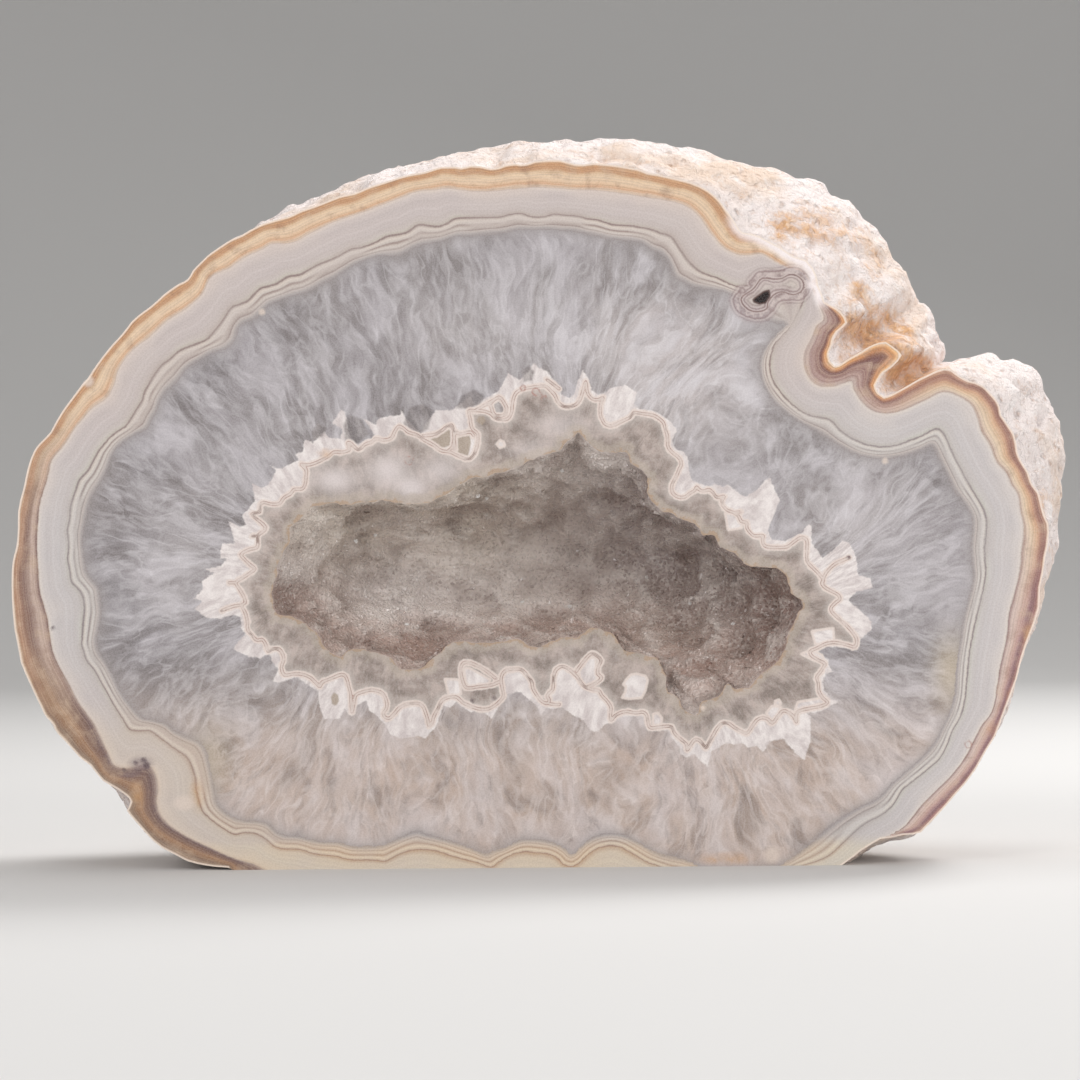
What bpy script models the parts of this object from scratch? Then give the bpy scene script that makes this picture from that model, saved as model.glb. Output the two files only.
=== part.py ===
"""Agate geode: half of a banded nodule, sawn and polished on one side and sawn
flat underneath so that it stands up. One stone, with an open druse-lined
hollow in the polished face. Metres, +Z up; the polished face looks along -Y."""

import math

import bpy
import bmesh
from mathutils import Vector, noise

# ---------------------------------------------------------------- sizes
STEP = 0.0002          # one step of the hand-read outlines below, 0.2 mm
MID_X = 536.0          # step that lies on X = 0 of the polished face
BASE_ROW = 867.6       # step that lies on the sawn base, Z = 0
LEAN = 0.00784         # slope of the base line in the steps, radians
EYE = (540.0, 540.0)   # middle of the readings
EYE_FAR = 0.90         # distance the readings of the rear outline were taken from

DEPTH = 0.084          # polished face to the back of the nodule
BELLY = 0.017          # depth of the widest section behind the polished face
NOTCH_BELLY = 0.026    # the same beside the folded notch at the top right
BACK_POWER = 2.35      # roundness of the back, 2 is an ellipse
BACK_MID = (0.000, 0.067)       # X, Z of the rearmost point
BACK_RADII = (0.104, 0.080)     # X, Z half sizes of the rounder rear sections
LUMP = 0.0011          # height of the knobs on the rind
CAVITY_DEPTH = 0.040   # polished face to the floor of the hollow
CAVITY_LUMP = 0.0010   # height of the knobs on the hollow's wall
FRONT_RINGS = 6        # rings from the polished face to the widest section
BACK_RINGS = 10        # rings from there to the back

# Outline of the polished face beside the outline of the widest section behind
# it, span by span, clockwise from the left end of the base: steps from the top
# left of a 216 mm square, x to the right and z down.  (face, belly, divisions)
SPANS = [
    # lower left, with the nick above the base
    ([(228, 870), (215, 868), (200, 864.5), (187, 861), (174, 854), (162, 848),
      (152, 840), (144, 831), (136, 822), (129, 814), (126.5, 810),
      (130.5, 804), (131, 800), (123, 793), (110, 785), (97, 774), (90, 765),
      (80, 758), (65, 741), (56, 732), (53, 724), (45, 716), (36, 697),
      (25, 673), (21, 663)],
     [(228, 870), (190, 862), (152, 840), (129, 812), (110, 786), (80, 758),
      (56, 732), (36, 697), (21, 663)], 22),
    # left side
    ([(21, 663), (17, 642), (14.5, 630), (12, 600), (11.5, 585), (13.5, 557),
      (17, 545), (18, 512), (24, 487), (28, 467), (37, 446), (50, 433),
      (63, 410), (81, 386), (88, 378)],
     [(21, 663), (14.5, 630), (11.5, 590), (14, 557), (18, 512), (28, 467),
      (40, 443), (63, 410), (88, 378)], 16),
    # upper left
    ([(88, 378), (103, 356), (123, 333), (140, 314), (163, 295), (186, 281),
      (193, 270), (208, 255), (230, 240), (250, 230)],
     [(88, 378), (103, 356), (123, 333), (140, 314), (163, 295), (186, 279),
      (208, 255), (230, 240), (250, 230)], 14),
    # top
    ([(250, 230), (275, 220), (300, 211), (320, 204), (340, 196), (370, 186.5),
      (400, 177), (425, 172), (440, 167), (462, 168), (470, 165.5),
      (498, 168), (515, 163.5), (535, 161), (560, 160)],
     [(250, 230), (275, 218), (294, 206), (308, 203), (332, 193), (358, 180),
      (385, 168), (418, 160), (450, 154), (475, 148.5), (505, 144),
      (532, 140.5), (560, 141)], 20),
    ([(560, 160), (585, 164.5), (605, 164), (632, 168), (656, 174),
      (690, 182), (709, 191), (721, 202), (731, 216), (741, 232), (752, 234)],
     [(560, 141), (577, 142), (602, 143), (633, 141.5), (670, 145),
      (705, 153), (735, 161), (760, 168), (802, 179)], 14),
    # top right, above the notch
    ([(752, 234), (767, 240.5), (780, 247), (793, 256), (806, 260),
      (813, 268), (818, 285), (824.4, 302)],
     [(802, 179), (821, 186), (840, 199), (853, 207), (868, 224),
      (886, 247)], 9),
    ([(824.4, 302), (833, 306.5), (840, 311), (847, 323)],
     [(886, 247), (901, 268), (913, 286)], 3),
    # first pit of the notch
    ([(847, 323), (836, 333), (831.7, 346), (828, 353.6), (830, 361),
      (834.7, 366)],
     [(913, 286), (918, 295), (923, 304)], 6),
    ([(834.7, 366), (839, 365.4), (848, 359), (858, 353.6), (870, 346),
      (886, 342)],
     [(923, 304), (932, 316), (937, 333)], 6),
    ([(886, 342), (892, 346), (901.8, 355)],
     [(937, 333), (943, 344)], 2),
    # second pit of the notch
    ([(901.8, 355), (892, 367), (883, 373), (875, 386), (877.4, 392),
      (884, 397)],
     [(943, 344), (947, 350), (942, 362)], 6),
    ([(884, 397), (898, 391), (917, 380), (936.4, 370.6), (944, 368.5)],
     [(942, 362), (952, 362), (960, 358.3)], 7),
    # right shoulder
    ([(944, 368.5), (951, 369.3), (966.6, 380.3), (984, 386.5), (995.7, 399),
      (1001, 414.8)],
     [(960, 358.3), (979, 355), (995, 353.6), (1013, 357.5), (1032.6, 364.6),
      (1045, 389.7)], 8),
    # right side
    ([(1001, 414.8), (1013.8, 433.7), (1017.7, 454), (1027.9, 471.4),
      (1031.8, 483.9), (1038.9, 493.3), (1044.4, 515.3), (1049, 532.6)],
     [(1045, 389.7), (1054.6, 411.7), (1060, 432), (1062.4, 447.8),
      (1061.7, 479), (1059, 526)], 11),
    ([(1049, 532.6), (1047.5, 546.7), (1043.6, 570.3), (1040, 588),
      (1035, 622), (1022, 658), (1009, 700), (995.5, 736), (976, 769),
      (956, 794), (934, 819), (921, 832.4)],
     [(1059, 526), (1056, 565.6), (1046.2, 590.8), (1040, 621.5),
      (1029.7, 648.2), (1019.5, 683), (1007.2, 715.9), (988.7, 750.8),
      (968.2, 783.6), (947.7, 806.2), (921, 832.4)], 22),
    # lower right
    ([(921, 832.4), (902.6, 834.9), (881, 838.6), (861.5, 850.3),
      (851.3, 858.5), (840, 865.2)],
     [(921, 832.4), (900, 840), (870, 852), (840, 867)], 7),
    # underneath, taken off by the saw
    ([(840, 865.2), (790, 893), (700, 914), (536, 925), (400, 916),
      (290, 896), (228, 870)],
     [(840, 867), (790, 897), (700, 922), (536, 934), (400, 924),
      (290, 902), (228, 870)], 24),
]
NOTCH_SPANS = range(5, 12)      # spans whose belly lies deeper

# Rim of the hollow, clockwise from its left end, in the same steps.
RIM = [
    (275.5, 612), (272, 590), (275.5, 575.8), (279, 560.8), (289.3, 540),
    (289.3, 526), (299.6, 520.7), (310, 509), (330, 503), (352, 505),
    (380, 500), (405, 503), (430, 502), (450, 492), (470, 480), (495, 474),
    (515, 467), (530, 460), (556.8, 451.5), (568, 441.7), (576.5, 432),
    (580.8, 433), (589, 443), (597.7, 450), (615.6, 452.8), (626.5, 452.8),
    (631, 463), (645, 473), (647.7, 483.6), (646.4, 492.6), (654, 502.8),
    (661.8, 511), (673.3, 512.4), (682.3, 519.5), (699, 526), (704, 534.9),
    (713, 536), (719.5, 545), (735, 555.4), (750, 566.7), (775, 569),
    (783.3, 575), (788.3, 583.3), (790, 593.3), (800, 598.3), (804, 606.7),
    (798.3, 613.3), (794, 623.3), (788.3, 633.3), (785, 646.7), (780, 658.3),
    (771.7, 666.7), (760, 673.3), (748.3, 686.7), (733.8, 687.7),
    (727.7, 684.6), (718.5, 697), (701.5, 700.8), (697, 713.8),
    (686, 710.8), (678.5, 697), (667.7, 691.5), (666, 678.5), (662.3, 666),
    (655.4, 657), (637, 654.6), (620, 647.7), (613.8, 634.8), (604.4, 632),
    (593.6, 628), (587, 630.8), (577.5, 638.8), (565.4, 637.5),
    (550.6, 641.5), (539.8, 647), (530.4, 647), (517, 640), (490, 643),
    (472, 642.8), (451, 642.8), (442.6, 648.5), (427, 664), (415.8, 670),
    (400.3, 669.6), (391.8, 659.7), (373.5, 652.7), (348, 648.5),
    (342.4, 657), (329.7, 652.7), (316.8, 634), (300, 621), (289.3, 617),
]
RIM_DIVISIONS = 84
# depth of each section as a part of CAVITY_DEPTH, its size, and how far it
# has turned from the ragged rim into a plain oval
CAVITY_SECTIONS = [(0.00, 1.000, 0.0), (0.05, 0.992, 0.0), (0.15, 0.965, 0.1),
                   (0.30, 0.915, 0.25), (0.47, 0.850, 0.45), (0.64, 0.760, 0.7),
                   (0.79, 0.635, 0.9), (0.90, 0.480, 1.0), (0.97, 0.290, 1.0),
                   (1.00, 0.110, 1.0)]
CAVITY_MID = (531.0, 566.0)
CAVITY_OVAL = (0.0520, 0.0200)
CAVITY_DRIFT = (0.0110, -0.0030)   # X, Z lead of the floor over the mouth


# ---------------------------------------------------------------- helpers
def plane_point(step):
    """A reading as X, Z on the polished face."""
    dx = (step[0] - MID_X) * STEP
    dz = (BASE_ROW - step[1]) * STEP
    c, s = math.cos(LEAN), math.sin(LEAN)
    return Vector((dx * c + dz * s, dz * c - dx * s))


def divide(points, count, closed=False):
    """count points at equal distances along a run of readings."""
    pts = [Vector(p) for p in points]
    if closed:
        pts.append(pts[0])
    runs = [(b - a).length for a, b in zip(pts, pts[1:])]
    total = sum(runs)
    out = []
    for k in range(count):
        left = total * k / count
        i = 0
        while i < len(runs) - 1 and left > runs[i]:
            left -= runs[i]
            i += 1
        out.append(pts[i].lerp(pts[i + 1], min(1.0, left / runs[i])))
    return out


def relax(points, passes):
    """A closed run of points with its ragged detail worn away."""
    n = len(points)
    for _ in range(passes):
        points = [(points[i - 1] + points[i] * 2.0 + points[(i + 1) % n]) / 4.0
                  for i in range(n)]
    return points


def smooth_step(t):
    t = min(1.0, max(0.0, t))
    return t * t * (3.0 - 2.0 * t)


def knobs(point, size, seed):
    """Lumpy relief between about -1 and 1."""
    p = Vector((point.x + seed, point.y, point.z)) / size
    return 0.65 * noise.noise(p) + 0.35 * noise.noise(p * 2.3)


def loft(rings, name):
    """Closed surface through rings of equal counts: the first ring is capped
    with one face, the last one closes on its middle."""
    bm = bmesh.new()
    rows = [[bm.verts.new(p) for p in ring] for ring in rings]
    n = len(rows[0])
    bm.faces.new(rows[0])
    for lower, upper in zip(rows, rows[1:]):
        for i in range(n):
            j = (i + 1) % n
            f = bm.faces.new((lower[i], upper[i], upper[j], lower[j]))
            f.smooth = True
    middle = Vector((0.0, 0.0, 0.0))
    for v in rows[-1]:
        middle += v.co / n
    pole = bm.verts.new(middle)
    for i in range(n):
        f = bm.faces.new((rows[-1][i], pole, rows[-1][(i + 1) % n]))
        f.smooth = True
    bmesh.ops.recalc_face_normals(bm, faces=bm.faces)
    mesh = bpy.data.meshes.new(name)
    bm.to_mesh(mesh)
    bm.free()
    return mesh


def add_object(mesh, collection, name):
    obj = bpy.data.objects.new(name, mesh)
    collection.objects.link(obj)
    return obj


# ---------------------------------------------------------------- nodule
def nodule_rings():
    face, belly, depth = [], [], []
    far = 1.0
    for k, (front, rear, count) in enumerate(SPANS):
        face += divide(front, count)
        belly += divide(rear, count)
        depth += [NOTCH_BELLY if k in NOTCH_SPANS else BELLY] * count
    n = len(face)
    # the deeper belly beside the notch fades into the rest
    for _ in range(14):
        depth = [(depth[i - 1] + 2.0 * depth[i] + depth[(i + 1) % n]) / 4.0
                 for i in range(n)]
    flat = [plane_point(p) for p in face]
    wide = []
    for p, d in zip(belly, depth):
        far = (EYE_FAR + d) / EYE_FAR
        wide.append(plane_point((EYE[0] + (p[0] - EYE[0]) * far,
                                 EYE[1] + (p[1] - EYE[1]) * far)))
    rings = [[Vector((p.x, 0.0, p.y)) for p in flat]]
    for k in range(1, FRONT_RINGS + 1):
        t = k / FRONT_RINGS
        out = math.sin(t * math.pi / 2.0)
        ring = []
        for a, b, d in zip(flat, wide, depth):
            p = a.lerp(b, out)
            ring.append(Vector((p.x, d * t, p.y)))
        rings.append(ring)
    mid = Vector(BACK_MID)
    worn = relax(wide, 60)
    for k in range(1, BACK_RINGS + 1):
        turn = (k / (BACK_RINGS + 0.75)) * math.pi / 2.0
        size = math.cos(turn) ** (2.0 / BACK_POWER)
        back = math.sin(turn) ** (2.0 / BACK_POWER)
        plainer = smooth_step(k / 4.0)
        rounder = smooth_step(k / 7.0)
        ring = []
        for b, w, d in zip(wide, worn, depth):
            b = b.lerp(w, plainer)
            angle = math.atan2((b.y - mid.y) / BACK_RADII[1],
                               (b.x - mid.x) / BACK_RADII[0])
            oval = mid + Vector((math.cos(angle) * BACK_RADII[0],
                                 math.sin(angle) * BACK_RADII[1]))
            p = mid + (b.lerp(oval, rounder) - mid) * size
            ring.append(Vector((p.x, d + (DEPTH - d) * back, p.y)))
        rings.append(ring)
    # knobs on the rind, none on the sawn edge
    middle = Vector((BACK_MID[0], DEPTH * 0.35, BACK_MID[1]))
    for k, ring in enumerate(rings):
        if k == 0:
            continue
        strength = LUMP * (0.35 if k == 1 else 0.8 if k == 2 else 1.15)
        fine = 0.6 * smooth_step((FRONT_RINGS + 5 - k) / 4.0)
        for p in ring:
            outward = (p - middle).normalized()
            p += outward * strength * (knobs(p, 0.026, 0.31)
                                       + fine * knobs(p, 0.008, 0.77))
    return rings


# ---------------------------------------------------------------- hollow
def hollow_rings():
    mid = plane_point(CAVITY_MID)
    rim = [plane_point(p) for p in divide(RIM, RIM_DIVISIONS, closed=True)]
    worn = relax(rim, 16)
    rings = [[Vector((p.x, -0.004, p.y)) for p in rim]]
    for k, (deep, size, rounder) in enumerate(CAVITY_SECTIONS):
        y = CAVITY_DEPTH * deep
        drift = Vector(CAVITY_DRIFT) * (1.0 - size)
        plainer = smooth_step(rounder * 2.2)
        ring = []
        for p, w in zip(rim, worn):
            p = p.lerp(w, plainer)
            angle = math.atan2((p.y - mid.y) / CAVITY_OVAL[1],
                               (p.x - mid.x) / CAVITY_OVAL[0])
            oval = mid + Vector((math.cos(angle) * CAVITY_OVAL[0],
                                 math.sin(angle) * CAVITY_OVAL[1]))
            q = mid + (p.lerp(oval, rounder) - mid) * size + drift
            v = Vector((q.x, y, q.y))
            if k > 1:
                v += (Vector((mid.x, 0.0, mid.y)) - v).normalized() * (
                    CAVITY_LUMP * size * knobs(v, 0.013, 2.13))
            ring.append(v)
        rings.append(ring)
    return rings


# ---------------------------------------------------------------- build
def build():
    for obj in list(bpy.data.objects):
        bpy.data.objects.remove(obj, do_unlink=True)
    scene = bpy.context.scene
    parts = bpy.data.collections.new("agate_geode")
    cutters = bpy.data.collections.new("cutters")
    scene.collection.children.link(parts)
    scene.collection.children.link(cutters)

    agate = bpy.data.materials.new("agate")
    agate.use_nodes = True
    shader = agate.node_tree.nodes["Principled BSDF"]
    shader.inputs["Base Color"].default_value = (0.48, 0.42, 0.39, 1.0)
    shader.inputs["Roughness"].default_value = 0.32
    shader.inputs["Metallic"].default_value = 0.0
    agate.diffuse_color = (0.48, 0.42, 0.39, 1.0)

    geode = add_object(loft(nodule_rings(), "geode"), parts, "geode")
    geode.data.materials.append(agate)

    # saw cut underneath
    bpy.ops.mesh.primitive_cube_add(size=1.0, location=(0.0, 0.04, -0.05))
    saw = bpy.context.active_object
    saw.name = "saw_cut"
    saw.scale = (0.40, 0.30, 0.10)
    for c in list(saw.users_collection):
        c.objects.unlink(saw)
    cutters.objects.link(saw)

    hollow = add_object(loft(hollow_rings(), "hollow"), cutters, "hollow")
    hollow.data.materials.append(agate)
    saw.data.materials.append(agate)

    for cutter in (saw, hollow):
        cutter.hide_render = True
        cutter.display_type = "WIRE"
        cut = geode.modifiers.new(cutter.name, "BOOLEAN")
        cut.operation = "DIFFERENCE"
        cut.solver = "EXACT"
        cut.object = cutter

    # the origin goes under the middle of the stone, on its base
    bpy.context.view_layer.update()
    stone = geode.evaluated_get(bpy.context.evaluated_depsgraph_get())
    low = Vector([min(v.co[i] for v in stone.data.vertices) for i in range(3)])
    high = Vector([max(v.co[i] for v in stone.data.vertices) for i in range(3)])
    shift = Vector((-(low.x + high.x) / 2.0, -(low.y + high.y) / 2.0, 0.0))
    for obj in (geode, hollow, saw):
        obj.location = obj.location + shift
    bpy.context.view_layer.update()


build()
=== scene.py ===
import math

import bmesh
import bpy
import numpy as np
from mathutils import Matrix, Vector, noise
from mathutils.geometry import delaunay_2d_cdt
from mathutils.kdtree import KDTree


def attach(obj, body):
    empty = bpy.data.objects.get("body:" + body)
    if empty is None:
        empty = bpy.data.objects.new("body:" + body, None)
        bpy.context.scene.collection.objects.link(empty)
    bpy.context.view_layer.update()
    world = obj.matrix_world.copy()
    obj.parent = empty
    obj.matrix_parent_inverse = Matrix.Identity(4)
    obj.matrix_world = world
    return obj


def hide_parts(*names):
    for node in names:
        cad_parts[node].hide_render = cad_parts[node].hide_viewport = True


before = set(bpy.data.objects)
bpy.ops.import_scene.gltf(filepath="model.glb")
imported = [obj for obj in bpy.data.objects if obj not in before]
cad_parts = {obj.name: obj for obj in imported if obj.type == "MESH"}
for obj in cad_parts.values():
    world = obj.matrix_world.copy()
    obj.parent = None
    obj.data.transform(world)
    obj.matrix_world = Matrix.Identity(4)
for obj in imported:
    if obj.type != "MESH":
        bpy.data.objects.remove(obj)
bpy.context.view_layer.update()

# ---------------------------------------------------------------- sizes
# All outlines below were read in steps of 0.2 mm on the polished
# face, x to the right and z down from the top left of a 216 mm square.
STEP, MID_X, BASE_ROW, LEAN = 0.0002, 536.0, 867.6, 0.00784
SHIFT_X, FACE_Y = -0.00097065, -0.04203942     # polished face in the row frame
EYE, EYE_FAR = (540.0, 540.0), 0.90
DEPTH, BELLY, NOTCH_BELLY = 0.084, 0.017, 0.026
BACK_POWER, BACK_MID, BACK_RADII = 2.35, (0.000, 0.067), (0.104, 0.080)
CAVITY_DEPTH, CAVITY_MID, CAVITY_OVAL = 0.040, (531.0, 566.0), (0.0520, 0.0200)
CAVITY_DRIFT = (0.0110, -0.0030)
FRONT_RINGS, BACK_RINGS, WALL_RINGS = 18, 37, 31

# ---------------------------------------------------------------- outlines
# (face, belly behind it, divisions), clockwise from the left end of the base
SPANS = [
    ([(228, 867.6), (215, 866.8), (200, 864.5), (187, 861), (174, 854), (162, 848),
      (152, 840), (144, 831), (136, 822), (129, 814), (126.5, 810),
      (130.5, 804), (131, 800), (128, 797), (123, 793), (117, 789), (110, 785), (103, 781),
      (97, 774), (90, 765), (80, 758), (73, 750), (65, 741), (56, 732), (53, 724),
      (45, 716), (42, 709), (36, 697), (30, 684), (25, 673), (21, 663)],
     [(228, 867.6), (190, 862), (152, 840), (129, 812), (110, 786), (80, 758),
      (56, 732), (36, 697), (21, 663)], 62),
    ([(21, 663), (17, 642), (14.5, 630), (13, 615), (12, 600), (11.5, 585), (12, 567),
      (13.5, 557), (17, 545), (18, 528), (18, 512), (20.5, 499), (24, 487), (25.5, 478),
      (28, 467), (32, 455), (37, 446), (42, 441), (50, 433), (57, 420),
      (63, 410), (72, 398), (81, 386), (88, 378)],
     [(21, 663), (14.5, 630), (11.5, 590), (14, 557), (18, 512), (28, 467),
      (40, 443), (63, 410), (88, 378)], 56),
    ([(88, 378), (95, 367), (103, 356), (112, 345), (123, 333), (132, 321), (140, 314),
      (150, 307), (158, 300), (163, 295), (171, 289), (180, 283), (186, 281),
      (190, 276), (193, 270), (201, 262), (208, 255), (218, 248), (230, 240), (242, 235),
      (250, 230)],
     [(88, 378), (103, 356), (123, 333), (140, 314), (163, 295), (186, 279),
      (208, 255), (230, 240), (250, 230)], 44),
    ([(250, 230), (262, 224), (275, 220), (290, 216), (300, 211), (320, 204), (340, 196),
      (355, 193), (370, 186.5), (385, 182), (400, 177), (410, 174.5), (425, 172),
      (440, 167), (455, 166.5), (462, 168), (470, 165.5), (480, 166), (490, 168.5),
      (498, 168), (505, 165), (515, 163.5), (520, 164.5), (527, 164), (535, 161),
      (548, 160), (560, 160)],
     [(250, 230), (262, 222), (275, 218), (280, 214), (290, 208), (294, 206), (299, 208),
      (308, 203), (320, 199), (332, 193), (340, 189), (347, 184), (358, 180),
      (370, 173), (385, 168), (400, 163), (418, 160), (430, 159), (440, 155),
      (450, 154), (462, 150), (475, 148.5), (490, 146), (505, 144), (516, 142),
      (532, 140.5), (545, 140), (560, 141)], 64),
    ([(560, 160), (568, 162), (576, 164.5), (585, 164.5), (593, 163), (605, 164),
      (618, 165.5), (632, 168), (640, 169.5), (648, 173), (656, 174),
      (665, 176), (678, 179), (690, 182), (700, 186), (709, 191), (715, 196), (721, 202),
      (726, 210), (731, 216), (736, 224), (741, 232), (752, 234)],
     [(560, 141), (572, 139), (577, 142), (602, 143), (612, 141.5), (633, 141.5),
      (643, 145), (670, 145), (683, 147), (695, 150), (705, 153), (715, 156),
      (725, 159), (735, 161), (745, 163), (753, 166), (760, 168), (782, 172.7),
      (802, 179)], 44),
    ([(752, 234), (760, 236.5), (767, 240.5), (780, 247), (793, 256), (806, 260),
      (813, 268), (817, 277), (818, 285), (821.4, 293), (824.4, 302)],
     [(802, 179), (821, 186), (830, 195), (840, 199), (848, 201), (853, 207),
      (862, 219), (868, 224), (877, 237), (886, 247)], 30),
    ([(824.4, 302), (833, 306.5), (840, 311), (845, 317), (847, 323)],
     [(886, 247), (894, 259), (901, 268), (907, 277), (913, 286)], 9),
    ([(847, 323), (842, 328), (836, 333), (833, 339), (831.7, 346), (828, 353.6),
      (830, 361), (834.7, 366)],
     [(913, 286), (917, 295), (918, 303), (923, 304)], 15),
    ([(834.7, 366), (839, 365.4), (848, 359), (858, 353.6), (870, 346),
      (879, 342.6), (886, 342)],
     [(923, 304), (928, 311), (932, 316), (934, 325), (937, 333)], 16),
    ([(886, 342), (892, 346), (898, 350.7), (901.8, 355)],
     [(937, 333), (940, 341), (943, 344)], 6),
    ([(901.8, 355), (898, 361), (892, 367), (883, 373), (878, 380), (875, 386),
      (877.4, 392), (884, 397)],
     [(943, 344), (947, 350), (945, 357), (942, 362)], 15),
    ([(884, 397), (889, 395.7), (898, 391), (907, 386), (917, 380), (927.6, 375),
      (936.4, 370.6), (944, 368.5)],
     [(942, 362), (952, 362), (960, 358.3)], 18),
    ([(944, 368.5), (951, 369.3), (958.8, 375.5), (966.6, 380.3), (976, 382.6),
      (984, 386.5), (990, 392.8), (995.7, 399), (999.6, 405.4), (1001, 414.8)],
     [(960, 358.3), (968.2, 358.3), (979, 355), (988.6, 352), (995, 353.6), (999.6, 359),
      (1007.5, 359.8), (1013, 357.5), (1018.5, 359.8), (1024.8, 363), (1032.6, 364.6),
      (1038.9, 370), (1042, 378.7), (1045, 389.7)], 20),
    ([(1001, 414.8), (1007.5, 424.2), (1013.8, 433.7), (1016, 441.5), (1017.7, 454),
      (1022.4, 463.5), (1027.9, 471.4), (1031.8, 483.9), (1038.9, 493.3), (1042, 505.9),
      (1044.4, 515.3), (1048.3, 523.2), (1049, 532.6)],
     [(1045, 389.7), (1051.5, 402), (1054.6, 411.7), (1059.3, 421), (1060, 432),
      (1061.7, 440), (1062.4, 447.8), (1061.7, 463.5), (1061.7, 479), (1060, 502.8),
      (1059, 526)], 28),
    ([(1049, 532.6), (1047.5, 546.7), (1045, 557.7), (1043.6, 570.3), (1040, 588),
      (1039.5, 607), (1035, 622), (1028, 640), (1022, 658), (1016.5, 680), (1009, 700),
      (1003, 716), (995.5, 736), (986, 751), (976, 769), (966, 783),
      (956, 794), (946, 806), (934, 819), (927, 826), (921, 832.4)],
     [(1059, 526), (1057.7, 550), (1056, 565.6), (1051.5, 575), (1049.2, 579.5),
      (1046.2, 590.8), (1043, 609.2), (1040, 621.5), (1033.8, 636), (1029.7, 648.2),
      (1023.6, 666.7), (1019.5, 683), (1013.3, 701.5), (1007.2, 715.9), (999, 734.4),
      (988.7, 750.8), (978.5, 769.2), (968.2, 783.6), (958, 793.8), (947.7, 806.2),
      (935.4, 819.5), (927.2, 826.7), (921, 832.4)], 66),
    ([(921, 832.4), (912.8, 834.5), (902.6, 834.9), (890.3, 837.9), (881, 838.6),
      (871.8, 844), (861.5, 850.3), (851.3, 858.5), (844, 863.6), (839.2, 867.6)],
     [(921, 832.4), (900, 840), (870, 852), (838, 867.6)], 20),
    ([(839.2, 867.6), (790, 893), (700, 914), (536, 925), (400, 916),
      (290, 896), (228, 867.6)],
     [(838, 867.6), (790, 897), (700, 922), (536, 934), (400, 924),
      (290, 902), (228, 867.6)], 60),
]
NOTCH_SPANS = range(5, 12)
BASE_SPAN = 16

RIM = [
    (275.5, 612), (272, 590), (275.5, 575.8), (279, 560.8), (289.3, 540),
    (289.3, 526), (299.6, 520.7), (310, 509), (330, 503), (352, 505),
    (380, 500), (405, 503), (430, 502), (450, 492), (470, 480), (495, 474),
    (515, 467), (530, 460), (556.8, 451.5), (568, 441.7), (576.5, 432),
    (580.8, 433), (589, 443), (597.7, 450), (615.6, 452.8), (626.5, 452.8),
    (631, 463), (645, 473), (647.7, 483.6), (646.4, 492.6), (654, 502.8),
    (661.8, 511), (673.3, 512.4), (682.3, 519.5), (699, 526), (704, 534.9),
    (713, 536), (719.5, 545), (735, 555.4), (750, 566.7), (775, 569),
    (783.3, 575), (788.3, 583.3), (790, 593.3), (800, 598.3), (804, 606.7),
    (798.3, 613.3), (794, 623.3), (788.3, 633.3), (785, 646.7), (780, 658.3),
    (771.7, 666.7), (760, 673.3), (748.3, 686.7), (733.8, 687.7),
    (727.7, 684.6), (718.5, 697), (701.5, 700.8), (697, 713.8),
    (686, 710.8), (678.5, 697), (667.7, 691.5), (666, 678.5), (662.3, 666),
    (655.4, 657), (637, 654.6), (620, 647.7), (613.8, 634.8), (604.4, 632),
    (593.6, 628), (587, 630.8), (577.5, 638.8), (565.4, 637.5),
    (550.6, 641.5), (539.8, 647), (530.4, 647), (517, 640), (490, 643),
    (472, 642.8), (451, 642.8), (442.6, 648.5), (427, 664), (415.8, 670),
    (400.3, 669.6), (391.8, 659.7), (373.5, 652.7), (348, 648.5),
    (342.4, 657), (329.7, 652.7), (316.8, 634), (300, 621), (289.3, 617),
]

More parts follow.
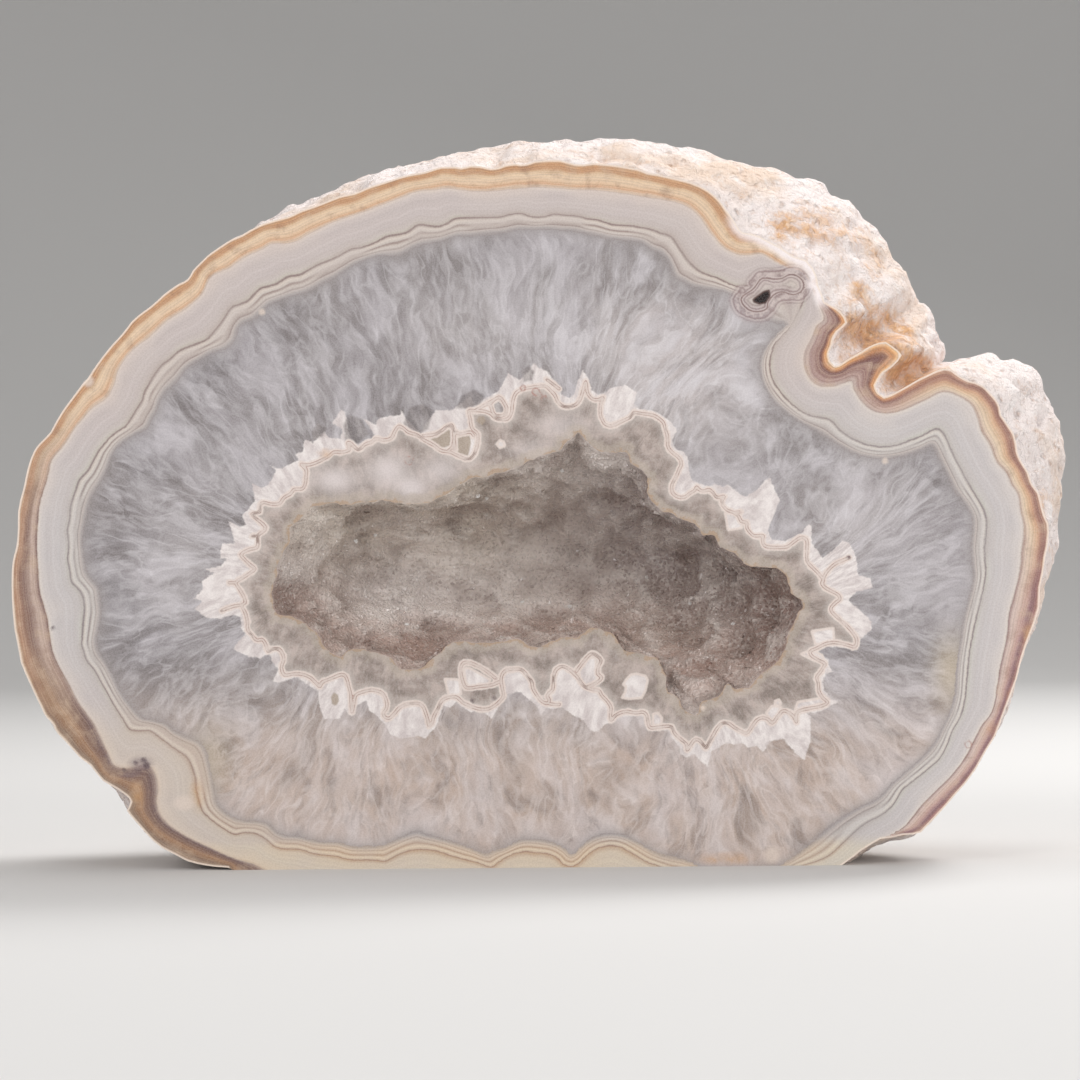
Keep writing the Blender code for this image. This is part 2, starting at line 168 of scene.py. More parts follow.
# M: outer bands against the thick pale band, closed below the base
BAND_M = [
    (53.7, 653), (50, 638), (46, 612), (40.7, 594), (38, 568.5), (37, 537), (38.4, 516.5),
    (40.7, 499), (46.7, 480), (52, 459), (60.6, 449), (72, 432), (80.6, 420.6),
    (92.7, 406.7), (106.5, 398), (114, 384), (117, 370.4), (132.5, 349.6), (150, 336),
    (163.6, 322), (181, 311.5), (196.5, 299.4), (203.5, 291), (210, 277), (228, 268),
    (245, 256), (262, 249), (272, 243.5), (285, 243.7), (298.5, 240), (310.6, 232.5),
    (324, 225.6), (340, 219.5), (354, 215), (371, 209), (388.5, 202), (406, 194.4),
    (416, 191), (437, 189), (445.6, 188), (466, 190), (489, 191), (520, 188),
    (533, 187), (567, 189), (593, 190), (617, 192), (642, 196), (667, 200),
    (683, 204), (692, 209), (702, 219), (710, 231), (718, 241), (727, 249), (738, 254),
    (750, 255), (762, 254), (775, 262), (790, 270), (803, 277), (812, 290), (820, 306),
    (824, 320), (817, 325.6), (812.6, 337), (805, 350.7), (803.7, 359.5), (805, 370),
    (809.6, 378.7), (817, 384.6), (827, 386.8), (839, 384.6), (848, 381), (853, 380),
    (853.8, 387.5), (858, 396), (865.6, 405), (874.5, 411), (886, 413.4), (899.5, 411),
    (914, 405), (929, 398), (940.8, 392), (949, 392), (959, 396), (971, 404),
    (977.6, 418), (982, 432), (990, 446), (996.5, 462), (1006, 471), (1012, 484),
    (1018.5, 495), (1021, 511), (1024, 528), (1021.6, 550), (1019, 575), (1013, 597),
    (1009, 613), (1006, 642), (1002, 658.5), (998, 683), (992, 712), (982.6, 724),
    (974, 740.5), (964, 759), (950, 777), (935, 792), (921, 806), (911, 818.5),
    (904.6, 827), (880, 842), (860, 856), (845, 868), (790, 880), (700, 888),
    (536, 892), (400, 888), (300, 880), (270, 872), (254, 864), (232, 858), (210, 848),
    (190, 838), (170, 826), (160, 815), (156, 800), (158, 790), (156, 775), (152, 768),
    (146, 765), (135, 767), (122, 768), (113, 765), (108, 753), (101, 737), (92, 720),
    (80, 704), (72, 690), (66, 678), (60, 668),
]
# L1: the thin dark line at the inner edge of the pale band
BAND_L = [
    (270, 842), (262, 836), (252, 832), (243, 832), (235, 834), (225, 829), (212, 820),
    (203, 811), (199, 800), (197, 790), (196, 778), (192, 766), (186, 756), (177, 750),
    (170, 745), (160, 737), (150, 730), (140, 730), (130, 729), (124, 720), (117, 709),
    (110, 697), (102, 683), (95, 670), (87, 660), (84, 650), (82, 645), (83, 635),
    (84, 622), (85, 610), (83.5, 597), (79, 589), (72, 582), (70, 570), (68, 558),
    (69, 550), (69, 540), (67.5, 530), (70, 520), (71, 510), (73, 500), (76, 490),
    (80, 480), (89, 470), (95, 459), (100, 450), (105, 444), (110, 438), (118, 432),
    (126, 427), (131, 420), (137, 410), (142, 403), (145, 392), (149, 385), (155, 375),
    (162, 366), (170, 360), (178, 352), (185, 348.5), (195, 345), (207, 340), (213, 334),
    (220, 325), (226, 317), (230, 310), (234, 306.5), (242, 304), (250, 300), (260, 289),
    (267, 287), (277, 284), (288, 277), (300, 275), (311, 269), (322, 263), (333, 259),
    (341, 255), (350, 250), (362, 248), (375, 243), (388, 236.5), (400, 235), (409, 232),
    (418, 225), (430, 226.5), (438, 227), (447, 224), (455, 219), (470, 218),
    (490, 217.5), (500, 217.5), (510, 215), (520, 213.7), (526.7, 215.8), (533.3, 218),
    (541.7, 218), (550, 215.8), (555, 215), (566.7, 215.8), (578.3, 216.7),
    (586.7, 219.2), (596.7, 220), (606.7, 223.3), (613.3, 225.3), (630, 226.3),
    (643.3, 228.3), (650, 229.7), (660, 233.3), (670, 236.7), (675, 243.3),
    (681.7, 253.3), (688.3, 262.5), (696.7, 270), (706.7, 275), (716.7, 278.3),
    (725, 282.5), (733.3, 286.3), (741.7, 287.5), (750, 285), (756, 279), (765, 271),
    (782, 269), (797, 270), (806, 277), (808, 286), (804, 300), (792, 322.7),
    (784.5, 331.5), (774.2, 343.3), (769.8, 355), (769, 367), (772, 380.2),
    (778.7, 390.5), (787.5, 400.8), (797.8, 409.7), (808, 415.6), (818.5, 418),
    (830, 420), (839.4, 430.5), (850.4, 438.4), (864.6, 444.7), (877, 447),
    (892.8, 446.5), (908.5, 441.5), (924.2, 435.2), (936.8, 429), (940.7, 431.3),
    (946.2, 440), (952.5, 454), (963.5, 476), (971.4, 490.2), (980.8, 505.9),
    (985.5, 518.5), (986, 527.9), (983.6, 546.7), (984.7, 562.4), (985.6, 572),
    (980.5, 599), (975.4, 619.5), (971.3, 640), (968.2, 658.5), (966.2, 683),
    (964, 701.5), (960, 715.9), (951.8, 730.3), (946.7, 744.6), (939.5, 759),
    (927.2, 769.2), (912.8, 780.5), (901.5, 789.7), (894.4, 803), (882, 814.4),
    (867.7, 821.5), (857.4, 828.7), (845, 841), (830.8, 854.4), (820.5, 860),
    (800, 866), (780, 872), (720, 876), (690, 873), (670, 870), (655.4, 864.5),
    (648, 862), (638.3, 856.5), (628.6, 850.4), (618.9, 846), (609, 845), (596.9, 848),
    (587.2, 854), (579.9, 861.4), (572, 866), (564, 863.8), (558, 857.7),
    (550.6, 854), (538.5, 852.3), (523.8, 851), (511.7, 854), (500.7, 860), (491, 867),
    (482, 863.7), (471.3, 860.3), (462.3, 858.5), (451.5, 855.3), (440.8, 851.7),
    (431.8, 849.5), (419.2, 849), (410.3, 850), (401.3, 853), (392.3, 857.6),
    (385, 861.2), (378, 860), (363.6, 859.7), (347.4, 858.9), (336.7, 855.8),
    (322.3, 854.4), (311.5, 853), (305.3, 850.4), (297, 848.4), (281, 848),
    (273.8, 845.4),
]
# Q: outer boundary of the fibrous quartz
BAND_Q = [
    (243, 821), (228, 815), (217, 805), (214, 790), (212, 780), (209, 765), (206, 752),
    (198, 741), (187, 737), (175, 732), (166, 724), (155, 721), (142, 718), (134, 710),
    (126, 700), (118, 688), (112, 675), (105, 662), (97, 650), (96, 640), (98, 630),
    (101, 615), (100, 600), (98, 587), (92, 580), (86, 570), (84, 558), (82, 545),
    (83, 530), (85, 520), (87, 510), (91, 497), (97, 487), (104, 476), (109, 463),
    (113, 452), (122, 442), (135, 434), (147, 428), (152, 418), (157, 410), (160, 400),
    (167, 390), (178, 380), (185, 370), (192, 364), (202, 358), (212, 352), (225, 349),
    (235, 340), (238, 328), (245, 322), (255, 318), (262, 310), (270, 304), (285, 298),
    (300, 294), (310, 290), (322, 283), (335, 277), (345, 270), (357, 263), (370, 258),
    (380, 255.5), (392, 256), (402, 254), (410, 249), (420, 245), (432, 243), (445, 240),
    (455, 236.5), (470, 236), (485, 234), (500, 233), (516, 230), (530, 229),
    (545, 228.5), (560, 230), (575, 231), (590, 234), (600, 236), (615, 239), (632, 241),
    (642, 243), (652, 250), (662, 254), (668, 260), (672, 270), (675, 277), (685, 282),
    (693, 286), (705, 288), (718, 290), (730, 293), (738, 300), (745, 312), (757, 316),
    (775, 322), (789, 322.7), (780, 331.5), (766.9, 346.3), (761, 359.5), (761, 374.3),
    (765.4, 387.6), (772.8, 399.3), (781.6, 408.2), (793.4, 417), (805, 424), (818, 431),
    (830, 438.4), (839.4, 444.7), (853.6, 452.5), (869.3, 457.2), (885, 458),
    (900.7, 455.6), (914.8, 451.7), (924.2, 447.8), (932, 444.7), (936.8, 451),
    (943, 465), (951, 480.8), (955.6, 490.2), (965, 502.8), (972, 515.3), (973, 528),
    (971.4, 546.7), (973, 565.6), (974.4, 578.5), (969.2, 599), (964.1, 619.5),
    (961, 642), (957, 665), (955.9, 691.3), (951.8, 707.7), (943.6, 726),
    (935.4, 742.6), (923, 757), (906.7, 771.3), (890.3, 785.6), (878, 798),
    (861.5, 806), (841, 818.5), (824.6, 830.8), (810.3, 845), (800, 853.3), (791, 860),
    (782, 865), (760, 868), (720, 869), (700, 867), (689.5, 862), (674.9, 858.2),
    (660.3, 855.3), (648, 849.2), (635.9, 841.9), (626.2, 836.3), (611.5, 833.8),
    (596.9, 836.3), (587.2, 841.9), (578.7, 850.4), (571.4, 855.3), (565.3, 850.4),
    (558, 845.5), (545.8, 841.4), (528.7, 839.4), (519, 841), (506.8, 848),
    (494.6, 851.6), (485.6, 855.3), (475, 850.8), (462.3, 846.3), (448, 841),
    (426.4, 834.6), (417.4, 831), (406.7, 834.6), (399.5, 838.2), (392.3, 841.8),
    (381.5, 846.3), (367.2, 847.2), (352.8, 847.2), (336.7, 842.7), (322.3, 842.3),
    (309.7, 840), (299, 836.4), (284.6, 835.5), (275.6, 832), (268.5, 824.7),
    (259.5, 822),
]
# Z: the zigzag line on the tips of the quartz
ZIGZAG = [
    (306, 469.5), (306, 477), (305, 485), (302, 489), (294, 489.4), (290.6, 493.7),
    (283.7, 498), (280, 503.3), (271.5, 504.3), (263, 502.4), (260.5, 505),
    (259.5, 512), (252, 514), (256.3, 518.7), (265.2, 526.8), (264.5, 530.4),
    (257.8, 535.6), (257.8, 540.8), (257, 547.4), (249, 549.6), (241, 554.8),
    (244.5, 559.2), (250.4, 565), (254.9, 568.8), (252, 571.7), (243, 577.6),
    (235.7, 582.8), (238.7, 588), (243, 595.3), (245.3, 602.7), (241.6, 605),
    (245.3, 613), (247.5, 621.9), (247.5, 629.2), (251.9, 635), (257, 640.3),
    (262.2, 639.5), (265.9, 644.7), (268, 651.3), (272.6, 649), (278.5, 649),
    (282.9, 654.3), (283.6, 660), (281.4, 667.6), (284.4, 675), (293, 674),
    (302, 674.2), (310.9, 677.9), (316.8, 683.8), (319.9, 686.5),
    (322, 682.3), (328.3, 679.5), (335.4, 676.7), (341, 674.6), (344.6, 675.3),
    (347, 679.5), (348.8, 686.5), (350.9, 695), (350.9, 702), (351.6, 709),
    (352, 712), (354.2, 702), (355.8, 695), (362.2, 692.2), (370.7, 690),
    (376.3, 690.8), (382, 692.9), (385.5, 697.8), (386.9, 704.9), (386.2, 709),
    (383.3, 713.3), (384.8, 716.9), (389, 718.3), (393.2, 714.8), (398.9, 708.4),
    (404.5, 704.9), (411.6, 703.5), (418.6, 703.5), (422.8, 706.3), (425.7, 713.3),
    (427.8, 720.4), (429.2, 726), (432, 723.2), (434, 716.2), (438.4, 707.7),
    (441.9, 700.6), (445.4, 698.5), (451, 697), (456.7, 697.1), (462.3, 702),
    (470.8, 706.3), (479.3, 709), (487.7, 709), (493.4, 706.3), (499, 702),
    (503.2, 696.4), (502.5, 689.4), (501, 680.9), (502.5, 673.9), (507.5, 669.6),
    (513, 669.3), (521.6, 669.6), (527.7, 676.5), (531.7, 681.9), (533, 688.6),
    (537, 695.4), (541.8, 701.4), (547.9, 703.4), (549.2, 699.4), (547.2, 696.7),
    (549.2, 692.7), (552.6, 690), (553.3, 683.3), (553.9, 675.2), (556, 669.8),
    (561.3, 666.4), (566.7, 667.8), (572, 671.8), (577.5, 677.2), (581.5, 683.3),
    (585.6, 687.3), (592.3, 689.3), (599, 690.7), (601.7, 695.4), (607, 700.8),
    (611, 707.5), (610.5, 714.2), (611, 720.3), (615.2, 715.6), (621.9, 712.2),
    (627.3, 711.5), (635.4, 712.9), (643.4, 712.2), (646.8, 715.6), (648, 722.3),
    (650, 727.7), (656.9, 727.4), (666.3, 726.3), (671.7, 727), (674.4, 733),
    (679.8, 738.4), (686.2, 744), (687.2, 750), (690.8, 744.6), (695.4, 739.2),
    (700, 740.8), (703, 744.6), (706, 747.7), (709, 742.3), (713, 735.4),
    (717, 728.5), (721.5, 723.8), (727.7, 723), (733.8, 727), (741.5, 731.5),
    (747, 733), (752.3, 726), (757, 720), (762.3, 717.7), (767.7, 719),
    (772.3, 723), (778.5, 715.4), (783, 710.8), (790.8, 713.8), (793.8, 717),
    (796.5, 722), (797, 712.3), (809, 708.5), (821.5, 706), (827.7, 702.3),
    (823.3, 698.3), (819, 691.7), (818.3, 683.3), (816.7, 676.7), (820, 672.5),
    (823.3, 667.5), (825, 664), (818.3, 660), (811.7, 655.8), (810, 651.7),
    (816.7, 648.3), (825, 644), (833.3, 642.5), (840, 643.3), (848.3, 645.3),
    (855, 646.7), (856.7, 640), (853.3, 633.3), (846.7, 625.8), (838.3, 618.3),
    (831.7, 611.7), (830.8, 608.3), (835.8, 602.5), (840, 599), (838.3, 595),
    (831.7, 591.3), (825, 587.5), (821.7, 583.3), (823.3, 580), (818.3, 573.3),
    (811.7, 566.7), (807.5, 561.7), (806.7, 556.7), (807, 548.3), (806.7, 540),
    (803, 537.5), (799, 538.3), (793, 542.5), (787.5, 546.7), (778, 547.5),
    (768, 547), (764, 545), (762.5, 540), (763.3, 535.8), (754, 535.8), (750, 532.5),
    (746.7, 527.5), (746.7, 522.5), (741.3, 521.5), (738.5, 516), (732.3, 512),
    (727.8, 510.5), (723.3, 506), (722, 501.5), (724, 496.4), (720, 497.4),
    (716.3, 497), (713, 492.6), (709.2, 489.7), (702.8, 491.3), (699, 489.4),
    (696.4, 487), (694.5, 490.6), (690, 493.2), (684.9, 497), (679.7, 497.4),
    (674.6, 495), (672, 491.3), (672, 484.9), (675.9, 477.2), (679, 469.5),
    (681.3, 464.4), (680.4, 459.9), (677.8, 456.7), (672, 452.2), (668, 447),
    (667.6, 441.3), (667, 434.2), (665, 428.5), (663.7, 423.3), (660.5, 419.7),
    (655.4, 416.3), (650.3, 414.6), (645, 414), (638.7, 413), (633.6, 412.8),
    (630.4, 416.9), (625.9, 419.5), (620, 422.3), (614.4, 424.9), (609.2, 425.9),
    (604.7, 423.6), (601.8, 418.8), (600.3, 414.4), (600.3, 408), (600.9, 403.5),
    (603, 397.5), (599, 399.4), (593.5, 399.4), (587.8, 393.7), (585.7, 381.7),
    (582.2, 393.7), (579.4, 400.8), (575, 405), (568, 407), (562.4, 405.7),
    (558.2, 402.2), (554.7, 395), (551.2, 391), (545, 386), (538, 386.5),
    (531.4, 387.4), (524.4, 388.8), (516, 393), (512.4, 403.6), (511.7, 412),
    (507.4, 419), (496, 418.4), (490.5, 413.5), (483, 411), (475, 410.6),
    (468.8, 411), (470, 418), (472.2, 429), (477, 433), (478, 438), (476.8, 447),
    (474, 454.5), (468.8, 459.3), (458, 455.8), (450, 452), (441, 450.5),
    (434, 445.3), (424, 440), (417, 435), (408.3, 432.3), (403, 428),
    (398.7, 426.2), (394.4, 432.3), (391, 438.4), (382, 440), (376, 438.4),
    (372, 441.8), (365, 444.4), (362.4, 447), (358, 449.6), (351, 443.6),
    (347.7, 442.7), (349.4, 449.6), (342.5, 452.2), (333.8, 452.2), (329.5, 455.7),
    (323.5, 459), (316.5, 462.6), (308, 465), (301, 464.3),
]
# T: ragged outer edge of the white teeth outside the zigzag
TEETH = [
    (276, 470), (272.6, 477.4), (268, 484.7), (262, 487.7), (252, 483.3), (253.4, 492),
    (255, 501), (249, 508), (242, 515.7), (246, 524.5), (240, 526.8), (228.3, 521),
    (231, 529), (235, 543), (221.7, 543.7), (220, 558.5), (227, 558.5), (221, 565.8),
    (204.7, 568.8), (213.6, 573), (201.8, 581), (203, 589.4), (193, 599), (203, 601),
    (194.4, 609), (206, 617.4), (219.5, 619), (234, 615), (241, 617.4), (241, 629),
    (246, 633.6), (238.7, 641), (232.8, 649), (249, 657), (260.8, 658), (269.6, 654),
    (272.6, 663), (278.5, 669), (272.6, 681), (277, 683), (285.8, 681), (296, 677),
    (300, 680), (310, 686), (318.5, 692), (318.5, 700.6), (320.6, 710.5), (324, 719),
    (339.6, 719), (344.6, 709), (351.9, 717), (356, 706), (366.4, 700.6),
    (369, 710.5), (377.7, 716.9), (386, 726), (390.4, 734.5), (400.3, 738.7),
    (417.2, 735.9), (425.7, 738.7), (429.9, 733), (435.5, 727.4), (439.8, 716.2),
    (443.3, 704.9), (449, 708.5), (456, 702), (469.4, 711.9), (482, 711.2),
    (492, 719), (500.4, 704), (505, 696), (514.5, 692.2), (521.6, 692), (525, 696.7),
    (534.4, 703.4), (539.8, 711.5), (540.5, 717.6), (546, 708), (553, 709),
    (563, 707), (570.8, 714), (584.2, 721), (589.6, 730.4), (597.7, 731.7),
    (604.4, 725), (612, 722), (622, 717), (637, 716), (643, 718), (647, 730),
    (656, 731), (667, 730), (672, 738), (680, 748), (680, 753.8), (686, 757.7),
    (693.8, 753.8), (701.5, 761.5), (707.7, 767.7), (712, 750.8), (718.5, 747.7),
    (726, 743), (733.8, 744.6), (743, 743), (747.7, 747.7), (757, 746), (763, 753),
    (770, 741.5), (783, 738.5), (797, 755), (804.6, 760), (810.8, 738.5),
    (810.8, 717), (806, 712.5), (815, 713), (828, 708), (838.3, 701.7), (832, 699),
    (824, 690), (823, 680), (826, 674), (833, 671), (828, 664), (829, 660),
    (822, 655), (818, 651), (826, 646.5), (840, 647), (850, 649), (858, 645),
    (861.7, 638), (871.7, 630), (871.7, 621.7), (860, 610), (848, 600),
    (856.7, 591.7), (873, 588), (870, 578), (858, 575), (856.7, 558), (850, 543),
    (843, 540), (833, 550), (823, 558), (811.7, 543), (811.7, 523), (806.7, 525),
    (803, 532), (795, 536), (785, 541), (772, 540), (767.5, 530), (770, 525),
    (780, 500), (776, 492), (770, 478), (765, 480), (757, 490), (745, 497),
    (738, 492), (731, 487), (728, 484), (724, 487), (716, 484), (708, 486),
    (699, 483), (692, 480), (689, 470), (688, 458), (684, 452), (676, 449), (672, 441),
    (677, 430), (672, 423), (662, 415), (652, 410), (640, 409), (634, 405),
    (637, 392), (625, 385), (610, 388), (606, 392), (598, 394), (592, 390), (588, 378),
    (583, 370), (578, 380), (574, 394), (570, 398), (562, 395), (558, 385),
    (548, 372), (540, 368), (533, 363), (528, 372), (520, 380), (508, 373),
    (502, 385), (497, 392), (486, 398), (475, 405), (470, 396), (465, 400),
    (452, 410), (436, 410), (425, 425), (420, 433), (407.4, 420), (401.3, 410.7),
    (400.5, 415), (389, 416), (378.8, 418.5), (375.4, 424.5), (360.7, 416.7),
    (368.5, 425.4), (375.4, 437.5), (366.7, 439), (358, 444), (350.5, 438),
    (347.7, 427), (345, 410.7), (340.8, 409.8), (332, 423.7), (342.5, 428.8),
    (340.8, 438.4), (328.6, 437.5), (323.5, 430.6), (313, 442.7), (304.4, 439),
    (302.7, 451.3), (294, 454.8), (299, 459.5), (290.6, 464), (280, 468.7), (269, 465),
]
# short lines that belong with the zigzag
SIDE_LINES = [
    [(257.8, 535.6), (252, 536)],
    [(235.7, 582.8), (229, 582.8)],
    [(241.6, 605), (232.8, 606.4), (221.7, 610.8)],
    [(547.9, 703.4), (554.6, 704.5), (559.3, 704.4)],
    [(823.3, 580), (824, 576.7), (828.3, 570), (835, 564), (841.7, 560.8), (845.8, 559),
     (849, 557.5)],
    [(576, 671.8), (580.2, 665.8), (585.6, 659), (591.6, 653.6), (597.7, 656.3),
     (601, 660.4), (598.3, 667), (597.7, 673.8), (601.7, 677.9), (596.3, 682.6),
     (590.3, 686), (585.6, 687.3)],
    [(496.2, 678.8), (486.3, 671), (476.4, 665.4), (466.6, 662.3), (462.3, 664),
     (460.9, 669.6), (461.6, 676.7), (465, 686.5), (468, 688), (479.3, 686.5),
     (492, 684.9), (499, 682)],
    [(422, 436), (436, 434), (451.5, 425), (453, 446), (448, 451)],
    [(455, 450), (455, 432), (460, 434), (470.6, 432), (474, 436)],
    [(490, 403.6), (499, 397), (504.6, 403.6), (506.7, 408.5), (504.6, 415),
     (494.7, 415), (490, 403.6)],
    [(475, 410.6), (499, 397)],
    [(547, 379.6), (559, 388.8)],
    [(741, 511.8), (734, 512.6)],
]
# loops of line round the small pocket near the notch
POCKET_LINES = [
    [(755, 287), (762, 278.5), (773, 279), (781.6, 278.5), (789, 274.8), (796, 275.5),
     (802, 280), (803.7, 286), (800.8, 291.7), (793.4, 294.7), (781.6, 291.7),
     (774, 294.7), (768, 302), (767, 308), (762, 311), (752, 311), (744.7, 306.5),
     (741, 299), (744.7, 294.7), (752, 290), (755, 287)],
    [(752, 283), (760, 275), (776, 274.5), (790, 270.5), (800, 272), (807, 279),
     (806.5, 290), (799, 297.5), (784, 297), (776, 300), (771, 308), (764, 315),
     (750, 315), (740, 309.5), (736, 300), (742, 291)],
]
POCKET_HOLE = [(752.9, 299.8), (758, 296), (763.9, 291.7), (769, 290.3), (769.8, 296),
               (765.4, 302.8), (759.5, 303.8), (754.3, 302)]
WHITE_CELLS = [
    [(626, 680), (630.8, 674.6), (637, 673.8), (645.4, 676), (647.7, 680),
     (645.4, 690.8), (641.5, 697.7), (629, 699), (622, 697.7), (625.4, 692), (626, 686),
     (623, 684.6)],
    [(811.7, 631), (833.3, 628), (834, 641), (815.5, 644.6)],
    [(463.7, 668), (469.4, 668), (490.5, 679.5), (489, 683.7), (469.4, 686.5),
     (465.9, 682.3)],
    [(578.8, 669.8), (584.2, 661.7), (592.3, 657), (595.7, 659), (596.3, 673.8),
     (597.7, 679.2), (589.6, 685.3), (585.6, 686.6), (580.2, 677.9)],
    [(653, 725), (653, 714), (658, 713), (662, 718), (661, 725)],
    [(444.7, 678.8), (459.5, 679.5), (461, 694), (449, 696)],
    [(775, 701), (779, 699.5), (781, 703), (779, 706), (775.5, 705.5)],
    [(725, 512), (733, 512), (741, 520), (742, 528), (728, 530)],
    [(800.8, 654), (811, 650), (822, 655), (825, 662), (815, 661)],
    [(795, 710), (797.7, 702), (821, 698), (826, 703), (812, 708)],
    [(766, 713), (772, 706), (781.5, 707), (778, 714), (772, 721)],
    [(500, 440), (504, 442), (505, 446), (500, 448), (496.5, 444)],
    [(166, 800.6), (175, 792.8), (178, 797), (187, 802), (197, 812.7), (200.8, 818.7),
     (195.6, 821), (183.5, 814.4), (171, 805.8)],
]


DARK_CELLS = [
    [(346, 440), (344, 425), (350, 415), (362, 420), (368, 434), (358, 443)],
    [(404, 424), (410, 408), (424, 404), (432, 412), (428, 428), (420, 434)],
    [(456, 408), (462, 396), (474, 390), (484, 396), (480, 404), (468, 408)],
    [(490, 403.6), (499, 397), (504.6, 403.6), (506.7, 408.5), (504.6, 415), (494.7, 415)],
    [(522, 372), (528, 366), (534, 372), (532, 380), (524, 381)],
    [(312, 432), (318, 424), (326, 428), (322, 436), (314, 439)],
]
TAWNY_CELLS = [
    [(425, 437), (436, 435.5), (450, 427.5), (451, 445), (441, 449), (432, 443)],
    [(457, 434), (460, 435), (469.5, 433.5), (471, 443), (468, 456), (457, 453)],
    [(476, 421), (479, 416), (484, 416), (486, 421), (482, 425)],
    [(334, 692), (338, 695), (339, 701), (336, 706), (332, 704), (331, 697)],
]
DOTS = [(135.9, 762.8, 1.8), (143.7, 760.0, 2.4), (146.4, 765.2, 3.2), (494, 698, 1.8),
        (472.6, 700.5, 1.8), (53, 628, 1.6), (124, 770, 1.6), (849, 557.5, 1.7)]


# ---------------------------------------------------------------- helpers
def plane_xz(p):
    """Readings (n, 2) as X, Z in the row frame, on the polished face."""
    p = np.asarray(p, float)
    dx, dz = (p[:, 0] - MID_X) * STEP, (BASE_ROW - p[:, 1]) * STEP
    c, s = math.cos(LEAN), math.sin(LEAN)
    return np.stack([dx * c + dz * s + SHIFT_X, dz * c - dx * s], 1)


def divide(points, count, closed=False):
    pts = np.asarray(points, float)
    if closed:
        pts = np.vstack([pts, pts[:1]])
    run = np.concatenate([[0], np.cumsum(np.hypot(*np.diff(pts, axis=0).T))])
    at = np.arange(count) * run[-1] / count
    return np.stack([np.interp(at, run, pts[:, 0]), np.interp(at, run, pts[:, 1])], 1)


def curved(points, closed, parts=4):
    """A smooth run through the readings (centripetal Catmull-Rom)."""
    p = [np.asarray(q, float) for q in points]
    n = len(p)
    out = []
    for i in range(n if closed else n - 1):
        p0 = p[(i - 1) % n] if closed or i > 0 else 2 * p[0] - p[1]
        p1, p2 = p[i], p[(i + 1) % n]
        p3 = p[(i + 2) % n] if closed or i + 2 < n else 2 * p[-1] - p[-2]
        t1 = max(1e-3, np.linalg.norm(p1 - p0)) ** 0.5
        t2 = t1 + max(1e-3, np.linalg.norm(p2 - p1)) ** 0.5
        t3 = t2 + max(1e-3, np.linalg.norm(p3 - p2)) ** 0.5
        for k in range(parts):
            t = t1 + (t2 - t1) * k / parts
            a1 = (t1 - t) / t1 * p0 + t / t1 * p1
            a2 = (t2 - t) / (t2 - t1) * p1 + (t - t1) / (t2 - t1) * p2
            a3 = (t3 - t) / (t3 - t2) * p2 + (t - t2) / (t3 - t2) * p3
            b1 = (t2 - t) / t2 * a1 + t / t2 * a2
            b2 = (t3 - t) / (t3 - t1) * a2 + (t - t1) / (t3 - t1) * a3
            out.append((t2 - t) / (t2 - t1) * b1 + (t - t1) / (t2 - t1) * b2)
    if not closed:
        out.append(p[-1])
    return np.array(out)


def relax(p, passes):
    for _ in range(passes):
        p = (np.roll(p, 1, 0) + 2 * p + np.roll(p, -1, 0)) / 4
    return p


def runs_to_segments(runs):
    """[(points, closed)] as segment starts and ends."""
    a, b = [], []
    for pts, closed in runs:
        pts = np.asarray(pts, float)
        a.append(pts if closed else pts[:-1])
        b.append(np.roll(pts, -1, 0) if closed else pts[1:])
    return np.vstack(a), np.vstack(b)


def distance(p, runs):
    """Distance of each point to the runs."""
    a, b = runs_to_segments(runs)
    d = b - a
    ll = np.maximum((d ** 2).sum(1), 1e-9)
    parts = np.maximum(1, np.ceil(np.sqrt(ll))).astype(int)
    owner = np.repeat(np.arange(len(a)), parts)
    step = np.concatenate([(np.arange(n) + 0.5) / n for n in parts])
    spots = a[owner] + d[owner] * step[:, None]
    tree = KDTree(len(spots))
    for i, (x, y) in enumerate(spots.tolist()):
        tree.insert((x, y, 0.0), i)
    tree.balance()
    p = np.asarray(p, float)
    hit = np.fromiter((tree.find((x, y, 0.0))[1] for x, y in p.tolist()), int, len(p))
    best = np.full(len(p), 1e18)
    for shift in (-1, 0, 1):
        s = (owner[hit] + shift) % len(a)
        ap = p - a[s]
        t = np.clip((ap * d[s]).sum(1) / ll[s], 0, 1)
        best = np.minimum(best, ((ap - t[:, None] * d[s]) ** 2).sum(1))
    return np.sqrt(best)


def inside(p, ring):
    ring = np.asarray(ring, float)
    x, y = p[:, 0], p[:, 1]
    hit = np.zeros(len(p), bool)
    for (x0, y0), (x1, y1) in zip(ring, np.roll(ring, -1, 0)):
        if y0 == y1:
            continue
        cross = ((y0 > y) != (y1 > y))
        hit ^= cross & (x < (x1 - x0) * (y - y0) / (y1 - y0) + x0)
    return hit


def disc(x, y, r):
    a = np.arange(10) * math.pi / 5
    return np.stack([x + r * np.cos(a), y + r * np.sin(a)], 1)


def smooth_step(t):
    t = np.clip(t, 0.0, 1.0)
    return t * t * (3 - 2 * t)


def knobs(v, size, seed=0.0):
    return noise.noise(Vector((v[0] + seed, v[1] + seed * 0.7, v[2])) / size)


